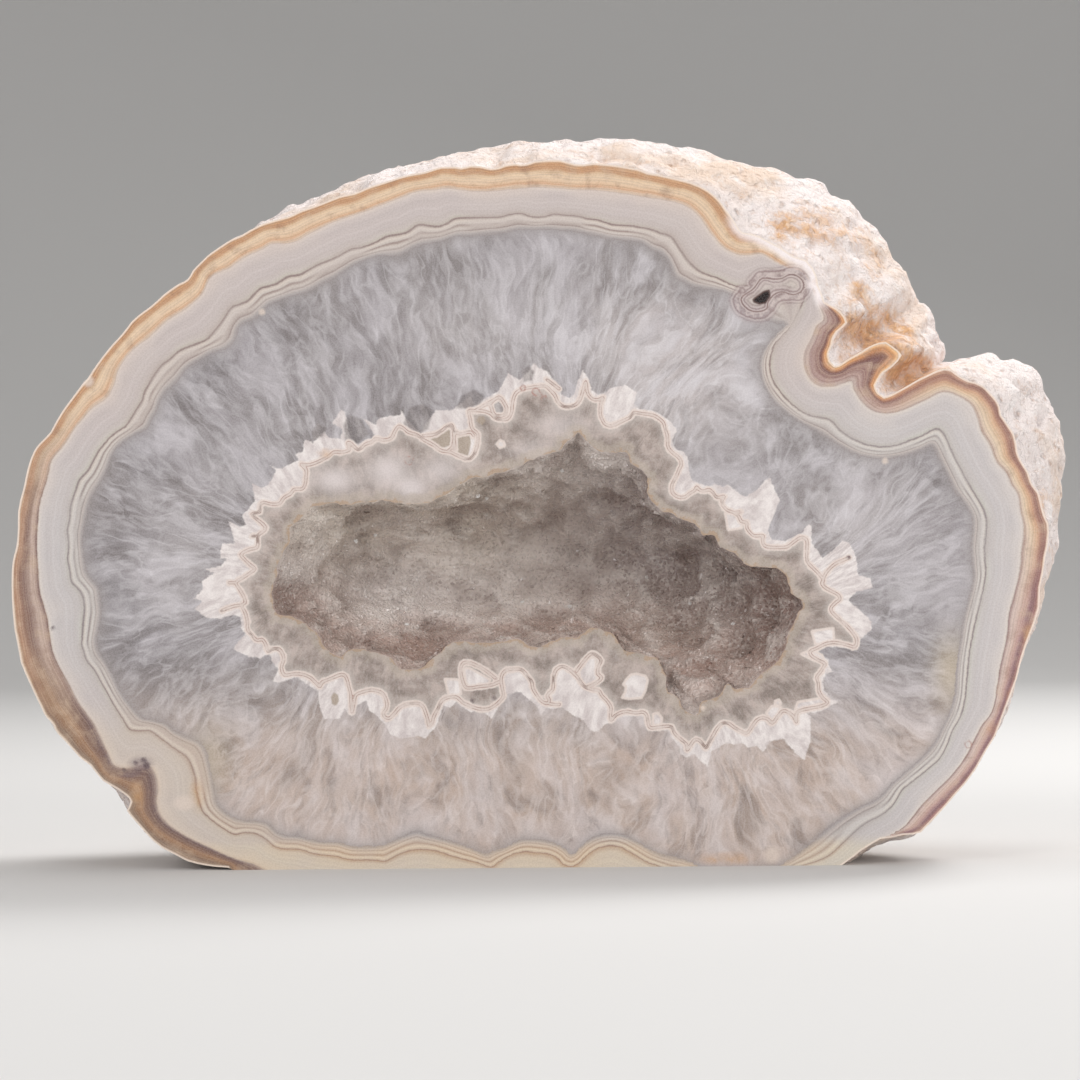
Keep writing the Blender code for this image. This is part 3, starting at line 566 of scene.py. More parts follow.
# ---------------------------------------------------------------- closed runs
face_steps, belly_steps, belly_depth = [], [], []
for k, (front, rear, count) in enumerate(SPANS):
    face_steps.append(divide(front, count))
    belly_steps.append(divide(rear, count))
    belly_depth += [NOTCH_BELLY if k in NOTCH_SPANS else BELLY] * count
BASE_FROM = sum(s[2] for s in SPANS[:BASE_SPAN])
face_steps, belly_steps = np.vstack(face_steps), np.vstack(belly_steps)
belly_depth = np.array(belly_depth)
tight = np.concatenate([np.full(n_, 1.0 if k_ in (0, 1, 2, 14, 15) else 0.0)
                        for k_, (_, _, n_) in enumerate(SPANS)])
for _ in range(90):
    tight = (np.roll(tight, 1) + 2 * tight + np.roll(tight, -1)) / 4
    belly_depth = (np.roll(belly_depth, 1) + 2 * belly_depth + np.roll(belly_depth, -1)) / 4
N_FACE = len(face_steps)
rim_steps = divide(curved(RIM, True, 3), 520, closed=True)
rim_out = np.roll(rim_steps, -1, 0) - np.roll(rim_steps, 1, 0)
rim_out = np.stack([rim_out[:, 1], -rim_out[:, 0]], 1)
rim_out /= np.linalg.norm(rim_out, axis=1)[:, None]
rim_wave = np.array([1.5 * noise.noise(Vector((x / 5.5, y / 5.5, 0.3)))
                     + 2.2 * noise.noise(Vector((x / 13.0, y / 13.0, 4.3)))
                     for x, y in rim_steps.tolist()])
rim_steps = rim_steps + rim_out * rim_wave[:, None]
line_m, line_l, line_q = (curved(c, True, 3) for c in (BAND_M, BAND_L, BAND_Q))
line_z = curved(ZIGZAG, True, 3)
teeth = np.asarray(TEETH, float)
side_lines = [curved(c, False, 3) for c in SIDE_LINES]
pocket_lines = [curved(c, False, 3) for c in POCKET_LINES]


# ---------------------------------------------------------------- face mesh
def fine_run(points, closed, gap):
    pts = np.asarray(points, float)
    ring = np.vstack([pts, pts[:1]]) if closed else pts
    total = np.hypot(*np.diff(ring, axis=0).T).sum()
    n = max(2, int(total / gap))
    if closed:
        return divide(pts, n, closed=True)
    out = divide(pts, n)
    return np.vstack([out, pts[-1:]])


def lattice(gap, seed):
    rng = np.random.default_rng(seed)
    xs = np.arange(8, 1056, gap)
    ys = np.arange(156, 876, gap * 0.866)
    g = np.stack(np.meshgrid(xs, ys), -1)
    g[1::2, :, 0] += gap / 2
    g = g.reshape(-1, 2)
    return g + rng.uniform(-0.16, 0.16, g.shape) * gap


fixed, edges = [], []


def hold(run, closed):
    first = sum(len(f) for f in fixed)
    fixed.append(run)
    n = len(run)
    edges.extend((first + i, first + i + 1) for i in range(n - 1))
    if closed:
        edges.append((first + n - 1, first))


hold(face_steps, True)
hold(rim_steps, True)
hold(fine_run(line_z, True, 1.9), True)
for run in side_lines:
    hold(fine_run(run, False, 1.9)[1:], False)
hold(fine_run(pocket_lines[0], False, 2.2)[:-1], True)
fixed = np.vstack(fixed)

line_runs = [(line_z, True)] + [(r, False) for r in side_lines + pocket_lines]
cell_runs = ([(np.array(w, float), True) for w in WHITE_CELLS]
             + [(teeth, True), (np.array(POCKET_HOLE, float), True)]
             + [(np.array(w, float), True) for w in DARK_CELLS + TAWNY_CELLS]
             + [(disc(*d), True) for d in DOTS])
grids = []
for gap, seed in ((1.9, 1), (3.3, 2), (5.8, 3)):
    g = lattice(gap, seed)
    d_z, d_w = distance(g, line_runs), distance(g, cell_runs)
    fine = (d_z <= 6.0) | (d_w <= 2.8)
    if seed == 1:
        g = g[fine & (d_z > gap * 0.5)]
    else:
        g, d_w = g[~fine], d_w[~fine]
        calm = (d_w > 5) & inside(g, line_q) & (distance(g, [(line_q, True)]) > 7)
        calm &= ~inside(g, relax(line_z, 12))
        g = g[~calm if seed == 2 else calm]
    g = g[inside(g, face_steps) & ~inside(g, rim_steps)]
    g = g[distance(g, [(face_steps, True), (rim_steps, True)]) > gap * 0.55]
    grids.append(g)
points = [Vector(p) for p in np.vstack([fixed] + grids).tolist()]
out = delaunay_2d_cdt(points, edges, [], 0, 1e-5)
flat_steps = np.array([tuple(v) for v in out[0]])
flat_faces = np.array([f for f in out[2] if len(f) == 3])
mids = flat_steps[flat_faces].mean(1)
flat_faces = flat_faces[inside(mids, face_steps) & ~inside(mids, rim_steps)]
ea = flat_steps[flat_faces[:, 1]] - flat_steps[flat_faces[:, 0]]
eb = flat_steps[flat_faces[:, 2]] - flat_steps[flat_faces[:, 0]]
flat_faces = flat_faces[np.abs(ea[:, 0] * eb[:, 1] - ea[:, 1] * eb[:, 0]) > 2e-3]
used = np.unique(flat_faces)
renumber = np.full(len(flat_steps), -1)
renumber[used] = np.arange(len(used))
flat_steps, flat_faces = flat_steps[used], renumber[flat_faces]
flat_xz = plane_xz(flat_steps)
face_points = np.stack([flat_xz[:, 0], np.full(len(flat_xz), FACE_Y), flat_xz[:, 1]], 1)

# ---------------------------------------------------------------- rind
flat = plane_xz(face_steps)
far = ((EYE_FAR + belly_depth) / EYE_FAR)[:, None]
wide = plane_xz(np.array(EYE) + (belly_steps - np.array(EYE)) * far)
mid = np.array([BACK_MID[0] + SHIFT_X, BACK_MID[1]])
worn = relax(wide, 500)
rings = [np.stack([flat[:, 0], np.full(N_FACE, FACE_Y), flat[:, 1]], 1)]
for k in range(1, FRONT_RINGS + 1):
    t = (k / FRONT_RINGS) ** 1.25
    p = flat + (wide - flat) * math.sin(t * math.pi / 2)
    rings.append(np.stack([p[:, 0], FACE_Y + belly_depth * t, p[:, 1]], 1))
for k in range(1, BACK_RINGS + 1):
    turn = (k / (BACK_RINGS + 0.5)) * math.pi / 2
    size, back = math.cos(turn) ** (2 / BACK_POWER), math.sin(turn) ** (2 / BACK_POWER)
    plainer = smooth_step(k / BACK_RINGS * 2.5)
    rounder = smooth_step(k / BACK_RINGS / 0.7)
    b = wide + (worn - wide) * plainer
    angle = np.arctan2((b[:, 1] - mid[1]) / BACK_RADII[1], (b[:, 0] - mid[0]) / BACK_RADII[0])
    oval = mid + np.stack([np.cos(angle) * BACK_RADII[0], np.sin(angle) * BACK_RADII[1]], 1)
    p = mid + (b + (oval - b) * rounder - mid) * size
    rings.append(np.stack([p[:, 0], FACE_Y + belly_depth + (DEPTH - belly_depth) * back,
                           p[:, 1]], 1))
heart = np.array([mid[0], FACE_Y + DEPTH * 0.35, mid[1]])
for k in range(1, len(rings)):
    ring = rings[k]
    grow = 0.35 if k == 1 else 0.7 if k == 2 else 1.0
    outward = ring - heart
    outward /= np.linalg.norm(outward, axis=1)[:, None]
    fine = float(smooth_step((len(rings) - 4 - k) / 12.0))
    spot_x = MID_X + ring[:, 0] / STEP
    spot_y = BASE_ROW - ring[:, 2] / STEP
    crumbly = np.exp(-((spot_x - 890) / 58) ** 2 - ((spot_y - 348) / 40) ** 2
                     - ((ring[:, 1] - FACE_Y) / 0.03) ** 2)
    for i, v in enumerate(ring):
        big = 0.65 * knobs(v, 0.026, 0.31) + 0.35 * knobs(v, 0.0113, 0.31)
        small = knobs(v, 0.0052, 3.1)
        grain = knobs(v, 0.0024, 5.7)
        pit = knobs(v, 0.0041, 9.3)
        h = 0.0012 * big + 0.00085 * small * fine + 0.00048 * grain * fine
        h -= 0.0032 * max(0.0, pit - 0.20) * fine
        h += crumbly[i] * (0.0013 * small + 0.0009 * grain)
        ring[i] = v + outward[i] * ((h - 0.0011 * tight[i]) * grow)
rind_points = np.vstack(rings + [rings[-1].mean(0)[None]])
rind_faces = []
for k in range(len(rings) - 1):
    a = k * N_FACE + np.arange(N_FACE)
    b = k * N_FACE + (np.arange(N_FACE) + 1) % N_FACE
    rind_faces.append(np.stack([a, a + N_FACE, b + N_FACE, b], 1))
rind_faces = np.vstack(rind_faces).tolist()
last = (len(rings) - 1) * N_FACE
rind_faces += [(last + i, len(rind_points) - 1, last + (i + 1) % N_FACE) for i in range(N_FACE)]

# ---------------------------------------------------------------- hollow
hollow_mid = plane_xz([CAVITY_MID])[0]
rim = plane_xz(rim_steps)
rim_worn = relax(rim, 500)
levels = [(0.00, 1.000, 0.0), (0.05, 0.992, 0.0), (0.15, 0.965, 0.1), (0.30, 0.915, 0.25),
          (0.47, 0.850, 0.45), (0.64, 0.760, 0.7), (0.79, 0.635, 0.9), (0.90, 0.480, 1.0),
          (0.97, 0.290, 1.0), (1.00, 0.110, 1.0)]
lev = np.array(levels)
# even steps along the profile
arc = np.concatenate([[0], np.cumsum(np.hypot(np.diff(lev[:, 0]) * 0.04, np.diff(lev[:, 1]) * 0.045))])
hollow_rings, hollow_relief = [], []
for k in range(WALL_RINGS + 1):
    at = arc[-1] * (k / WALL_RINGS) ** 1.1
    deep, size, rounder = (np.interp(at, arc, lev[:, j]) for j in range(3))
    drift = np.array(CAVITY_DRIFT) * (1 - size)
    plainer = smooth_step(rounder * 2.2)
    b = rim + (rim_worn - rim) * plainer
    angle = np.arctan2((b[:, 1] - hollow_mid[1]) / CAVITY_OVAL[1],
                       (b[:, 0] - hollow_mid[0]) / CAVITY_OVAL[0])
    oval = hollow_mid + np.stack([np.cos(angle) * CAVITY_OVAL[0],
                                  np.sin(angle) * CAVITY_OVAL[1]], 1)
    q = hollow_mid + (b + (oval - b) * rounder - hollow_mid) * size + drift
    ring = np.stack([q[:, 0], np.full(len(q), FACE_Y + CAVITY_DEPTH * deep), q[:, 1]], 1)
    relief = np.zeros(len(ring))
    if k:
        inward = np.array([hollow_mid[0], FACE_Y - 0.01, hollow_mid[1]]) - ring
        inward /= np.linalg.norm(inward, axis=1)[:, None]
        near = min(1.0, k / 4.0)
        for i, v in enumerate(ring):
            bump = 1.0 - abs(knobs(v, 0.0098, 2.1)) * 2.8
            lump = 1.0 - abs(knobs(v, 0.0044, 4.9)) * 2.8
            h = 0.0017 * bump + 0.0009 * lump + 0.0004 * knobs(v, 0.0022, 7.7)
            relief[i] = 0.6 * bump + 0.4 * lump
            ring[i] = v + inward[i] * (h * near * min(1.0, size * 1.6))
    hollow_rings.append(ring)
    hollow_relief.append(relief)
hollow_points = np.vstack(hollow_rings + [hollow_rings[-1].mean(0)[None]])
n_rim = len(rim)
hollow_faces = []
for k in range(WALL_RINGS):
    a = k * n_rim + np.arange(n_rim)
    b = k * n_rim + (np.arange(n_rim) + 1) % n_rim
    hollow_faces.append(np.stack([a, b, b + n_rim, a + n_rim], 1))
hollow_faces = np.vstack(hollow_faces).tolist()
last = WALL_RINGS * n_rim
hollow_faces += [(last + i, last + (i + 1) % n_rim, len(hollow_points) - 1)
                 for i in range(n_rim)]


# ---------------------------------------------------------------- one closed body
FACE, RIND, WALL, SOLE = 0, 1, 2, 3


def uv_of(kind, a, b):
    """Places in the texture square: face, then rind, wall and sole strips."""
    if kind == FACE:
        return 0.002 + (a + 0.1085) / 0.217 * 0.996, 0.002 + b / 0.217 * 0.996
    if kind == RIND:
        return 0.002 + a * 0.996, 0.69 + b * 0.19
    if kind == WALL:
        return 0.002 + a * 0.70, 0.885 + b * 0.110
    return 0.72 + (a + 0.1) / 0.2 * 0.27, 0.885 + (b + 0.05) / 0.1 * 0.110


body = bmesh.new()
uv = body.loops.layers.uv.new("OFBake")


def add_sheet(points, faces, kind, places):
    vs = [body.verts.new(p) for p in points]
    for f, spots in zip(faces, places):
        try:
            made = body.faces.new([vs[i] for i in f])
        except ValueError:
            continue
        made.material_index = kind
        made.smooth = kind in (RIND, WALL)
        for loop, spot in zip(made.loops, spots):
            loop[uv].uv = uv_of(kind, *spot)


add_sheet(face_points.tolist(), flat_faces[:, ::-1].tolist(), FACE,
          flat_xz[flat_faces[:, ::-1]].tolist())


def ring_sheet(rings, turn):
    n, m = len(rings[0]), len(rings)
    pts = np.vstack(rings + [rings[-1].mean(0)[None]])
    faces, places = [], []
    for k in range(m - 1):
        for i in range(n):
            j = (i + 1) % n
            quad = [(k * n + i, i, k), (k * n + j, i + 1, k),
                    ((k + 1) * n + j, i + 1, k + 1), ((k + 1) * n + i, i, k + 1)]
            if turn:
                quad.reverse()
            faces.append([q[0] for q in quad])
            places.append([(q[1] / n, q[2] / m) for q in quad])
    for i in range(n):
        tri = [((m - 1) * n + i, i, m - 1), ((m - 1) * n + (i + 1) % n, i + 1, m - 1),
               (m * n, i + 0.5, m)]
        if turn:
            tri.reverse()
        faces.append([q[0] for q in tri])
        places.append([(q[1] / n, q[2] / m) for q in tri])
    return pts.tolist(), faces, places


add_sheet(*[(p, f) for p, f, _ in [ring_sheet(rings, True)]][0], RIND,
          ring_sheet(rings, True)[2])
pts, faces, places = ring_sheet(hollow_rings, False)
add_sheet(pts, faces, WALL, places)
bmesh.ops.remove_doubles(body, verts=body.verts[:], dist=1e-6)
bmesh.ops.bisect_plane(body, geom=body.verts[:] + body.edges[:] + body.faces[:],
                       dist=1e-7, plane_co=(0, 0, 0), plane_no=(0, 0, 1), clear_inner=True)
for v in body.verts:
    if abs(v.co.z) < 1e-6:
        v.co.z = 0.0
# the flat base, closed with its own net of triangles
open_edges = [e for e in body.edges if e.is_boundary]
loop_verts = [open_edges[0].verts[0]]
beside = {}
for e in open_edges:
    beside.setdefault(e.verts[0], []).append(e.verts[1])
    beside.setdefault(e.verts[1], []).append(e.verts[0])
before, now = None, loop_verts[0]
while True:
    ahead = [v for v in beside[now] if v is not before]
    before, now = now, ahead[0]
    if now is loop_verts[0]:
        break
    loop_verts.append(now)
loop_xy = np.array([(v.co.x, v.co.y) for v in loop_verts]) * 1000
print("base loop", len(loop_verts), "open", len(open_edges))
gx, gy = np.meshgrid(np.arange(-80, 80, 1.3), np.arange(-45, 45, 1.3))
net = np.stack([gx.ravel(), gy.ravel()], 1)
net = net[inside(net, loop_xy)]
net = net[distance(net, [(loop_xy, True)]) > 0.7]
n = len(loop_xy)
out = delaunay_2d_cdt([Vector(p) for p in np.vstack([loop_xy, net]).tolist()],
                      [(i, (i + 1) % n) for i in range(n)], [], 1, 1e-6)
sole_verts = loop_verts + [body.verts.new((x / 1000, y / 1000, 0.0))
                           for x, y in [tuple(v) for v in out[0][n:]]]
for f in out[2]:
    made = body.faces.new([sole_verts[i] for i in f][::-1])
    made.material_index = SOLE
    for loop in made.loops:
        loop[uv].uv = uv_of(SOLE, loop.vert.co.x, loop.vert.co.y)
bmesh.ops.triangulate(body, faces=[f for f in body.faces if len(f.verts) > 3])
bmesh.ops.recalc_face_normals(body, faces=body.faces[:])
print("body", len(body.verts), len(body.faces), "open",
      sum(1 for e in body.edges if not e.is_manifold), "volume", body.calc_volume(signed=True))
mesh = bpy.data.meshes.new("geode_stone")
body.to_mesh(mesh)
body.free()
stone = bpy.data.objects.new("geode_stone", mesh)
bpy.context.scene.collection.objects.link(stone)

# ---------------------------------------------------------------- zones on the stone
count = len(mesh.vertices)
co = np.empty(count * 3)
mesh.vertices.foreach_get("co", co)
co = co.reshape(-1, 3)
c, s = math.cos(LEAN), math.sin(LEAN)
bx, bz = co[:, 0] - SHIFT_X, co[:, 2]
at = np.stack([MID_X + (bx * c - bz * s) / STEP, BASE_ROW - (bz * c + bx * s) / STEP], 1)
on_face = co[:, 1] < FACE_Y + 1e-6
on_sole = (co[:, 2] < 1e-6) & ~on_face
f = np.where(on_face)[0]
p = at[f]


def store(name, values, kind="FLOAT"):
    layer = mesh.attributes.new(name, kind, "POINT")
    layer.data.foreach_set("value" if kind == "FLOAT" else "vector",
                           np.asarray(values, np.float32).ravel())


outer = np.vstack([face_steps[:BASE_FROM + 1]])
d_f = distance(p, [(outer, False)])
d_m, d_l, d_q = (distance(p, [(r, True)]) for r in (line_m, line_l, line_q))
in_m, in_l, in_q = (inside(p, r) for r in (line_m, line_l, line_q))
u = np.where(in_q, 3 + d_q / 100,
             np.where(in_l, 2 + d_l / np.maximum(d_l + d_q, 1e-6),
                      np.where(in_m, 1 + d_m / np.maximum(d_m + d_l, 1e-6),
                               d_f / np.maximum(d_f + d_m, 1e-6))))
band = np.zeros(count)
band[f] = u
# the base is cut across the same bands
fs = np.where(on_sole)[0]
d_sole = distance(co[fs, :2] * 1000, [(loop_xy, True)])
band[fs] = np.where(d_sole < 5, d_sole / 5, np.where(d_sole < 10, 1 + (d_sole - 5) / 5,
                    np.where(d_sole < 13, 2 + (d_sole - 10) / 3, 3 + (d_sole - 13) / 20)))
store("band", band)


def signed(run, closed=True):
    return np.where(inside(p, run), 1, -1) * distance(p, [(run, closed)])


def spread(values, rest=0.0):
    full = np.full(count, float(rest))
    full[f] = values
    return full


zig = signed(line_z)
store("zig", spread(zig, -200))
store("teeth", spread(signed(teeth), -200))
store("side", spread(distance(p, [(r, False) for r in side_lines]), 200))
store("pocket", spread(distance(p, [(r, False) for r in pocket_lines]), 200))
store("hole", spread(signed(np.array(POCKET_HOLE, float)), -200))


def inside_of(shapes):
    best = np.full(len(p), -200.0)
    for w in shapes:
        w = np.array(w, float)
        near = (np.abs(p - w.mean(0)) < 60).all(1)
        keep = p[near]
        if len(keep):
            dist = distance(keep, [(w, True)]) * np.where(inside(keep, w), 1, -1)
            best[near] = np.maximum(best[near], dist)
    return best


store("cell", spread(inside_of(WHITE_CELLS), -200))
store("dark", spread(inside_of(DARK_CELLS), -200))
store("tawny", spread(inside_of(TAWNY_CELLS), -200))
store("dot", spread(inside_of([disc(*d) for d in DOTS]), -200))
rim_gap = distance(p, [(rim_steps, True)])
store("rim", spread(rim_gap, 200))
store("edge", spread(d_f, 0))

# fibres: a smooth field from the quartz border to the hollow, and for every
# point the place on the border where its fibre begins
GRID = 4.0
gx, gy = np.arange(0, 1084, GRID), np.arange(150, 930, GRID)
mx, my = np.meshgrid(gx, gy)
cells = np.stack([mx.ravel(), my.ravel()], 1)
in_hole = inside(cells, relax(rim_steps, 30)).reshape(mx.shape)
out_q = ~inside(cells, relax(divide(line_q, 900, closed=True), 20)).reshape(mx.shape)
field = np.where(in_hole, 1.0, 0.0)
free = ~(in_hole | out_q)
dc = distance(cells, [(line_q, True)]).reshape(mx.shape)
dh = distance(cells, [(rim_steps, True)]).reshape(mx.shape)
field = np.where(free, dc / (dc + dh), field)
for _ in range(700):
    mean = field.copy()
    mean[1:-1, 1:-1] = (field[:-2, 1:-1] + field[2:, 1:-1] + field[1:-1, :-2]
                        + field[1:-1, 2:]) / 4
    field = np.where(free, mean, field)


def sample(grid, q):
    x = np.clip((q[:, 0] - gx[0]) / GRID, 0, len(gx) - 1.001)
    y = np.clip((q[:, 1] - gy[0]) / GRID, 0, len(gy) - 1.001)
    i, j = x.astype(int), y.astype(int)
    tx, ty = x - i, y - j
    return ((grid[j, i] * (1 - tx) + grid[j, i + 1] * tx) * (1 - ty)
            + (grid[j + 1, i] * (1 - tx) + grid[j + 1, i + 1] * tx) * ty)


slope_y, slope_x = np.gradient(field, GRID)
phi = sample(field, p)
root = p.copy()
for _ in range(170):
    g = np.stack([sample(slope_x, root), sample(slope_y, root)], 1)
    size = np.linalg.norm(g, axis=1)
    live = (sample(field, root) > 0.01) & (size > 1e-6)
    root[live] -= g[live] / size[live, None] * 2.0
root = np.where(in_q[:, None], root, p)
fibre = np.zeros((count, 3))
fibre[f, :2] = root / 100
fibre[f, 2] = phi
fibre[fs, :2] = co[fs, :2] * 50
fibre[fs, 2] = d_sole / 30
store("fibre", fibre, "FLOAT_VECTOR")
place = np.zeros((count, 3))
place[:, :2] = at / 100
place[:, 2] = (co[:, 1] - FACE_Y) / STEP / 100
store("place", place, "FLOAT_VECTOR")

turn = np.degrees(np.arctan2(540 - at[:, 1], at[:, 0] - 540)) % 360


def sector(lo, hi, fade):
    mid_, half = (lo + hi) / 2, (hi - lo) / 2
    off = np.abs((turn - mid_ + 180) % 360 - 180)
    return smooth_step((half + fade - off) / (2 * fade) if fade else (off < half) * 1.0)


def blob(x, y, rx, ry=None):
    ry = ry or rx
    return np.exp(-((at[:, 0] - x) / rx) ** 2 - ((at[:, 1] - y) / ry) ** 2)


store("style", np.stack([sector(171, 199, 10), sector(197, 300, 6), sector(-70, 26, 12)], 1),
      "FLOAT_VECTOR")
notch = np.clip(blob(850, 350, 62) * 1.6, 0, 1)
store("corner", smooth_step((620 - at[:, 1]) / 110) * smooth_step((at[:, 0] - 880) / 60))
ochre = np.clip(blob(872, 334, 42, 26) + 1.2 * blob(914, 374, 34, 26) + 0.75 * blob(812, 222, 46, 28)
                + 0.55 * blob(866, 285, 36, 44) + 0.5 * blob(740, 190, 14, 10) + 0.5 * blob(1046, 500, 12, 40), 0, 1)
store("ochre", ochre)
low_left = 0.5 * smooth_step((at[:, 1] - 690) / 70) * smooth_step((330 - at[:, 0]) / 90)
store("style2", np.stack([notch, np.maximum(smooth_step((at[:, 1] - 832) / 18), low_left),
                          smooth_step((at[:, 1] - 640) / 130)], 1), "FLOAT_VECTOR")
milky = np.clip(blob(690, 380, 85, 75) + 0.7 * blob(640, 330, 60, 50) + 0.55 * blob(860, 520, 60, 60)
                + 0.5 * blob(480, 330, 90, 40) + 0.4 * blob(170, 560, 50, 60), 0, 1)
tint = np.clip(blob(950, 670, 16, 34) + 0.8 * blob(210, 760, 20, 30), 0, 1)
blue = np.clip(blob(150, 560, 110, 170) + blob(900, 560, 90, 130) + 0.6 * blob(300, 380, 150, 70), 0, 1)
store("tone", np.stack([milky, tint, blue], 1), "FLOAT_VECTOR")
spots = np.clip(blob(141, 763, 14, 7) + 0.8 * blob(128, 775, 13, 3), 0, 1)
pale = np.clip(blob(88, 381, 7) + blob(184, 803, 13, 9) + blob(772, 855, 10) + blob(262, 312, 4)
               + blob(885, 461, 4) + blob(703, 708, 3.5), 0, 1)
rust = np.clip(blob(1047, 565, 6, 8) + blob(1028, 635, 6, 12) + 0.5 * blob(1009, 696, 5, 9)
               + 0.6 * blob(991, 728, 7, 9) + blob(726, 859, 27, 6) + 0.8 * blob(197, 795, 8, 16)
               + 0.7 * blob(137, 795, 8, 16) + 0.75 * blob(325, 453, 8, 5) + 0.7 * blob(816, 282, 4), 0, 1)
store("marks", np.stack([spots, pale, rust], 1), "FLOAT_VECTOR")
loops = np.full(len(p), 200.0)
for x, y, r in ((409, 461, 4.4), (536, 392, 3.8), (544, 398, 2.8), (968, 744, 3.6), (523, 388, 2.6)):
    loops = np.minimum(loops, np.abs(np.hypot(p[:, 0] - x, p[:, 1] - y) - r))
store("loops", spread(loops, 200))
# painted highlight: near-white along the face edge above the notch, where the rim light glares
rim_highlight = np.full(count, 0.0)
rim_highlight[f] = smooth_step((26 - distance(p, [(np.array([(746, 222), (772, 236), (796, 256), (818, 290)], float), False)])) / 20)
store("rim_highlight", rim_highlight)
store("quiet", blob(792, 314, 11, 13))

shade_top = np.clip(blob(478, 398, 60, 20) + blob(330, 446, 34, 14) + 0.9 * blob(410, 408, 50, 16)
                    + 0.5 * blob(300, 400, 60, 40) + 0.4 * blob(640, 275, 60, 22), 0, 1)
shine = np.clip(blob(560, 325, 60, 34) + 0.8 * blob(430, 318, 60, 26) + 0.6 * blob(250, 430, 30, 40)
                + 0.8 * blob(850, 470, 50, 30) + 0.9 * blob(900, 560, 40, 60) + 0.8 * blob(160, 590, 40, 30)
                + 0.6 * blob(330, 780, 60, 30), 0, 1)
glow = np.clip(blob(335, 480, 22, 14) + blob(388, 470, 22, 18) + blob(412, 488, 14, 10)
               + 0.8 * blob(440, 470, 20, 14) + 0.6 * blob(560, 425, 30, 14) + 0.5 * blob(530, 450, 24, 10), 0, 1)
store("shade", np.stack([shade_top, shine, glow], 1), "FLOAT_VECTOR")


# relief height of the hollow wall, used by the wall materials for painted shade and highlight
relief_tree = KDTree(sum(len(r) for r in hollow_rings))
relief_flat = np.concatenate(hollow_relief)
for i, v in enumerate(np.vstack(hollow_rings).tolist()):
    relief_tree.insert(v, i)
relief_tree.balance()
relief_here = np.array([relief_flat[relief_tree.find(v)[1]] if v[1] > FACE_Y + 1e-5 else 0.0
                        for v in co.tolist()])
store("relief", relief_here)


def hollow_tones(q):
    def spot(x, y, rx, ry):
        return np.exp(-((q[:, 0] - x) / rx) ** 2 - ((q[:, 1] - y) / ry) ** 2)
    brown = np.clip(spot(288, 608, 46, 36) + spot(350, 642, 60, 20) + spot(420, 656, 44, 24)
                    + 0.8 * spot(525, 632, 90, 16) + spot(700, 662, 95, 40) + spot(782, 608, 36, 62)
                    + 0.4 * spot(620, 610, 90, 30), 0, 1)
    beige = np.clip(spot(330, 530, 60, 36) + spot(440, 492, 90, 30) + 0.7 * spot(470, 540, 60, 34)
                    + 0.5 * spot(650, 640, 70, 30), 0, 1)
    cold = np.clip(spot(640, 500, 70, 60) + 0.8 * spot(690, 560, 70, 40) + 0.5 * spot(400, 590, 70, 26), 0, 1)
    return np.stack([brown, beige, cold], 1)


# painted shade: the hollow darker towards its ends, most at its right end
def hollow_painted_shade(q):
    return np.clip(np.exp(-((q[:, 0] - 790) / 62) ** 2 - ((q[:, 1] - 605) / 62) ** 2)
                   + 0.7 * np.exp(-((q[:, 0] - 700) / 70) ** 2 - ((q[:, 1] - 560) / 60) ** 2)
                   + 0.7 * np.exp(-((q[:, 0] - 650) / 44) ** 2 - ((q[:, 1] - 480) / 40) ** 2)
                   + 0.6 * np.exp(-((q[:, 0] - 285) / 26) ** 2 - ((q[:, 1] - 590) / 40) ** 2), 0, 1)


store("hollow", hollow_tones(at), "FLOAT_VECTOR")
store("painted_shade", hollow_painted_shade(at))

# ---------------------------------------------------------------- small crystals
rng = np.random.default_rng(11)
hp = np.vstack(hollow_rings)
m = len(hollow_rings)
tri = []
for k in range(m - 1):
    for i in range(n_rim):
        j = (i + 1) % n_rim
        tri.append((k * n_rim + i, k * n_rim + j, (k + 1) * n_rim + j))
        tri.append((k * n_rim + i, (k + 1) * n_rim + j, (k + 1) * n_rim + i))
heart_at = len(hp)
hp = np.vstack([hp, hp[-n_rim:].mean(0)[None]])
tri += [((m - 1) * n_rim + i, (m - 1) * n_rim + (i + 1) % n_rim, heart_at) for i in range(n_rim)]
tri = np.array(tri)
ta, tb, tc = hp[tri[:, 0]], hp[tri[:, 1]], hp[tri[:, 2]]
area_n = np.cross(tb - ta, tc - ta)
area = np.linalg.norm(area_n, axis=1)
print("wall area mm2", area.sum() / 2 * 1e6)
CRYSTALS = 18500
SPARKS = np.array([(375, 534), (407, 625), (522, 604), (570, 607), (645, 578), (690, 603),
                   (734, 623), (355, 541), (486, 497), (476, 495), (560, 470)], float)
pick = rng.choice(len(tri), CRYSTALS, p=area / area.sum())
r1, r2 = np.sqrt(rng.random(CRYSTALS)), rng.random(CRYSTALS)
foot = (ta[pick] * (1 - r1)[:, None] + tb[pick] * (r1 * (1 - r2))[:, None]
        + tc[pick] * (r1 * r2)[:, None])
normal = area_n[pick] / area[pick][:, None]
toward = np.array([hollow_mid[0], FACE_Y, hollow_mid[1]]) - foot
normal *= np.sign((normal * toward).sum(1))[:, None]
verts, polys, tints, spots_at, reliefs = [], [], [], [], []
plan = np.stack([MID_X + ((foot[:, 0] - SHIFT_X) * c - foot[:, 2] * s) / STEP,
                 BASE_ROW - (foot[:, 2] * c + (foot[:, 0] - SHIFT_X) * s) / STEP], 1)
eye = np.array(EYE, float)
seen_all = eye + (plan - eye) * (EYE_FAR / (EYE_FAR + foot[:, 1] - FACE_Y))[:, None]
hidden = 1e3 * (normal[:, 1] > -0.25)
bright = {int(np.argmin(np.abs(seen_all - q).sum(1) + hidden)) for q in SPARKS}
hexa = np.arange(6) * math.pi / 3
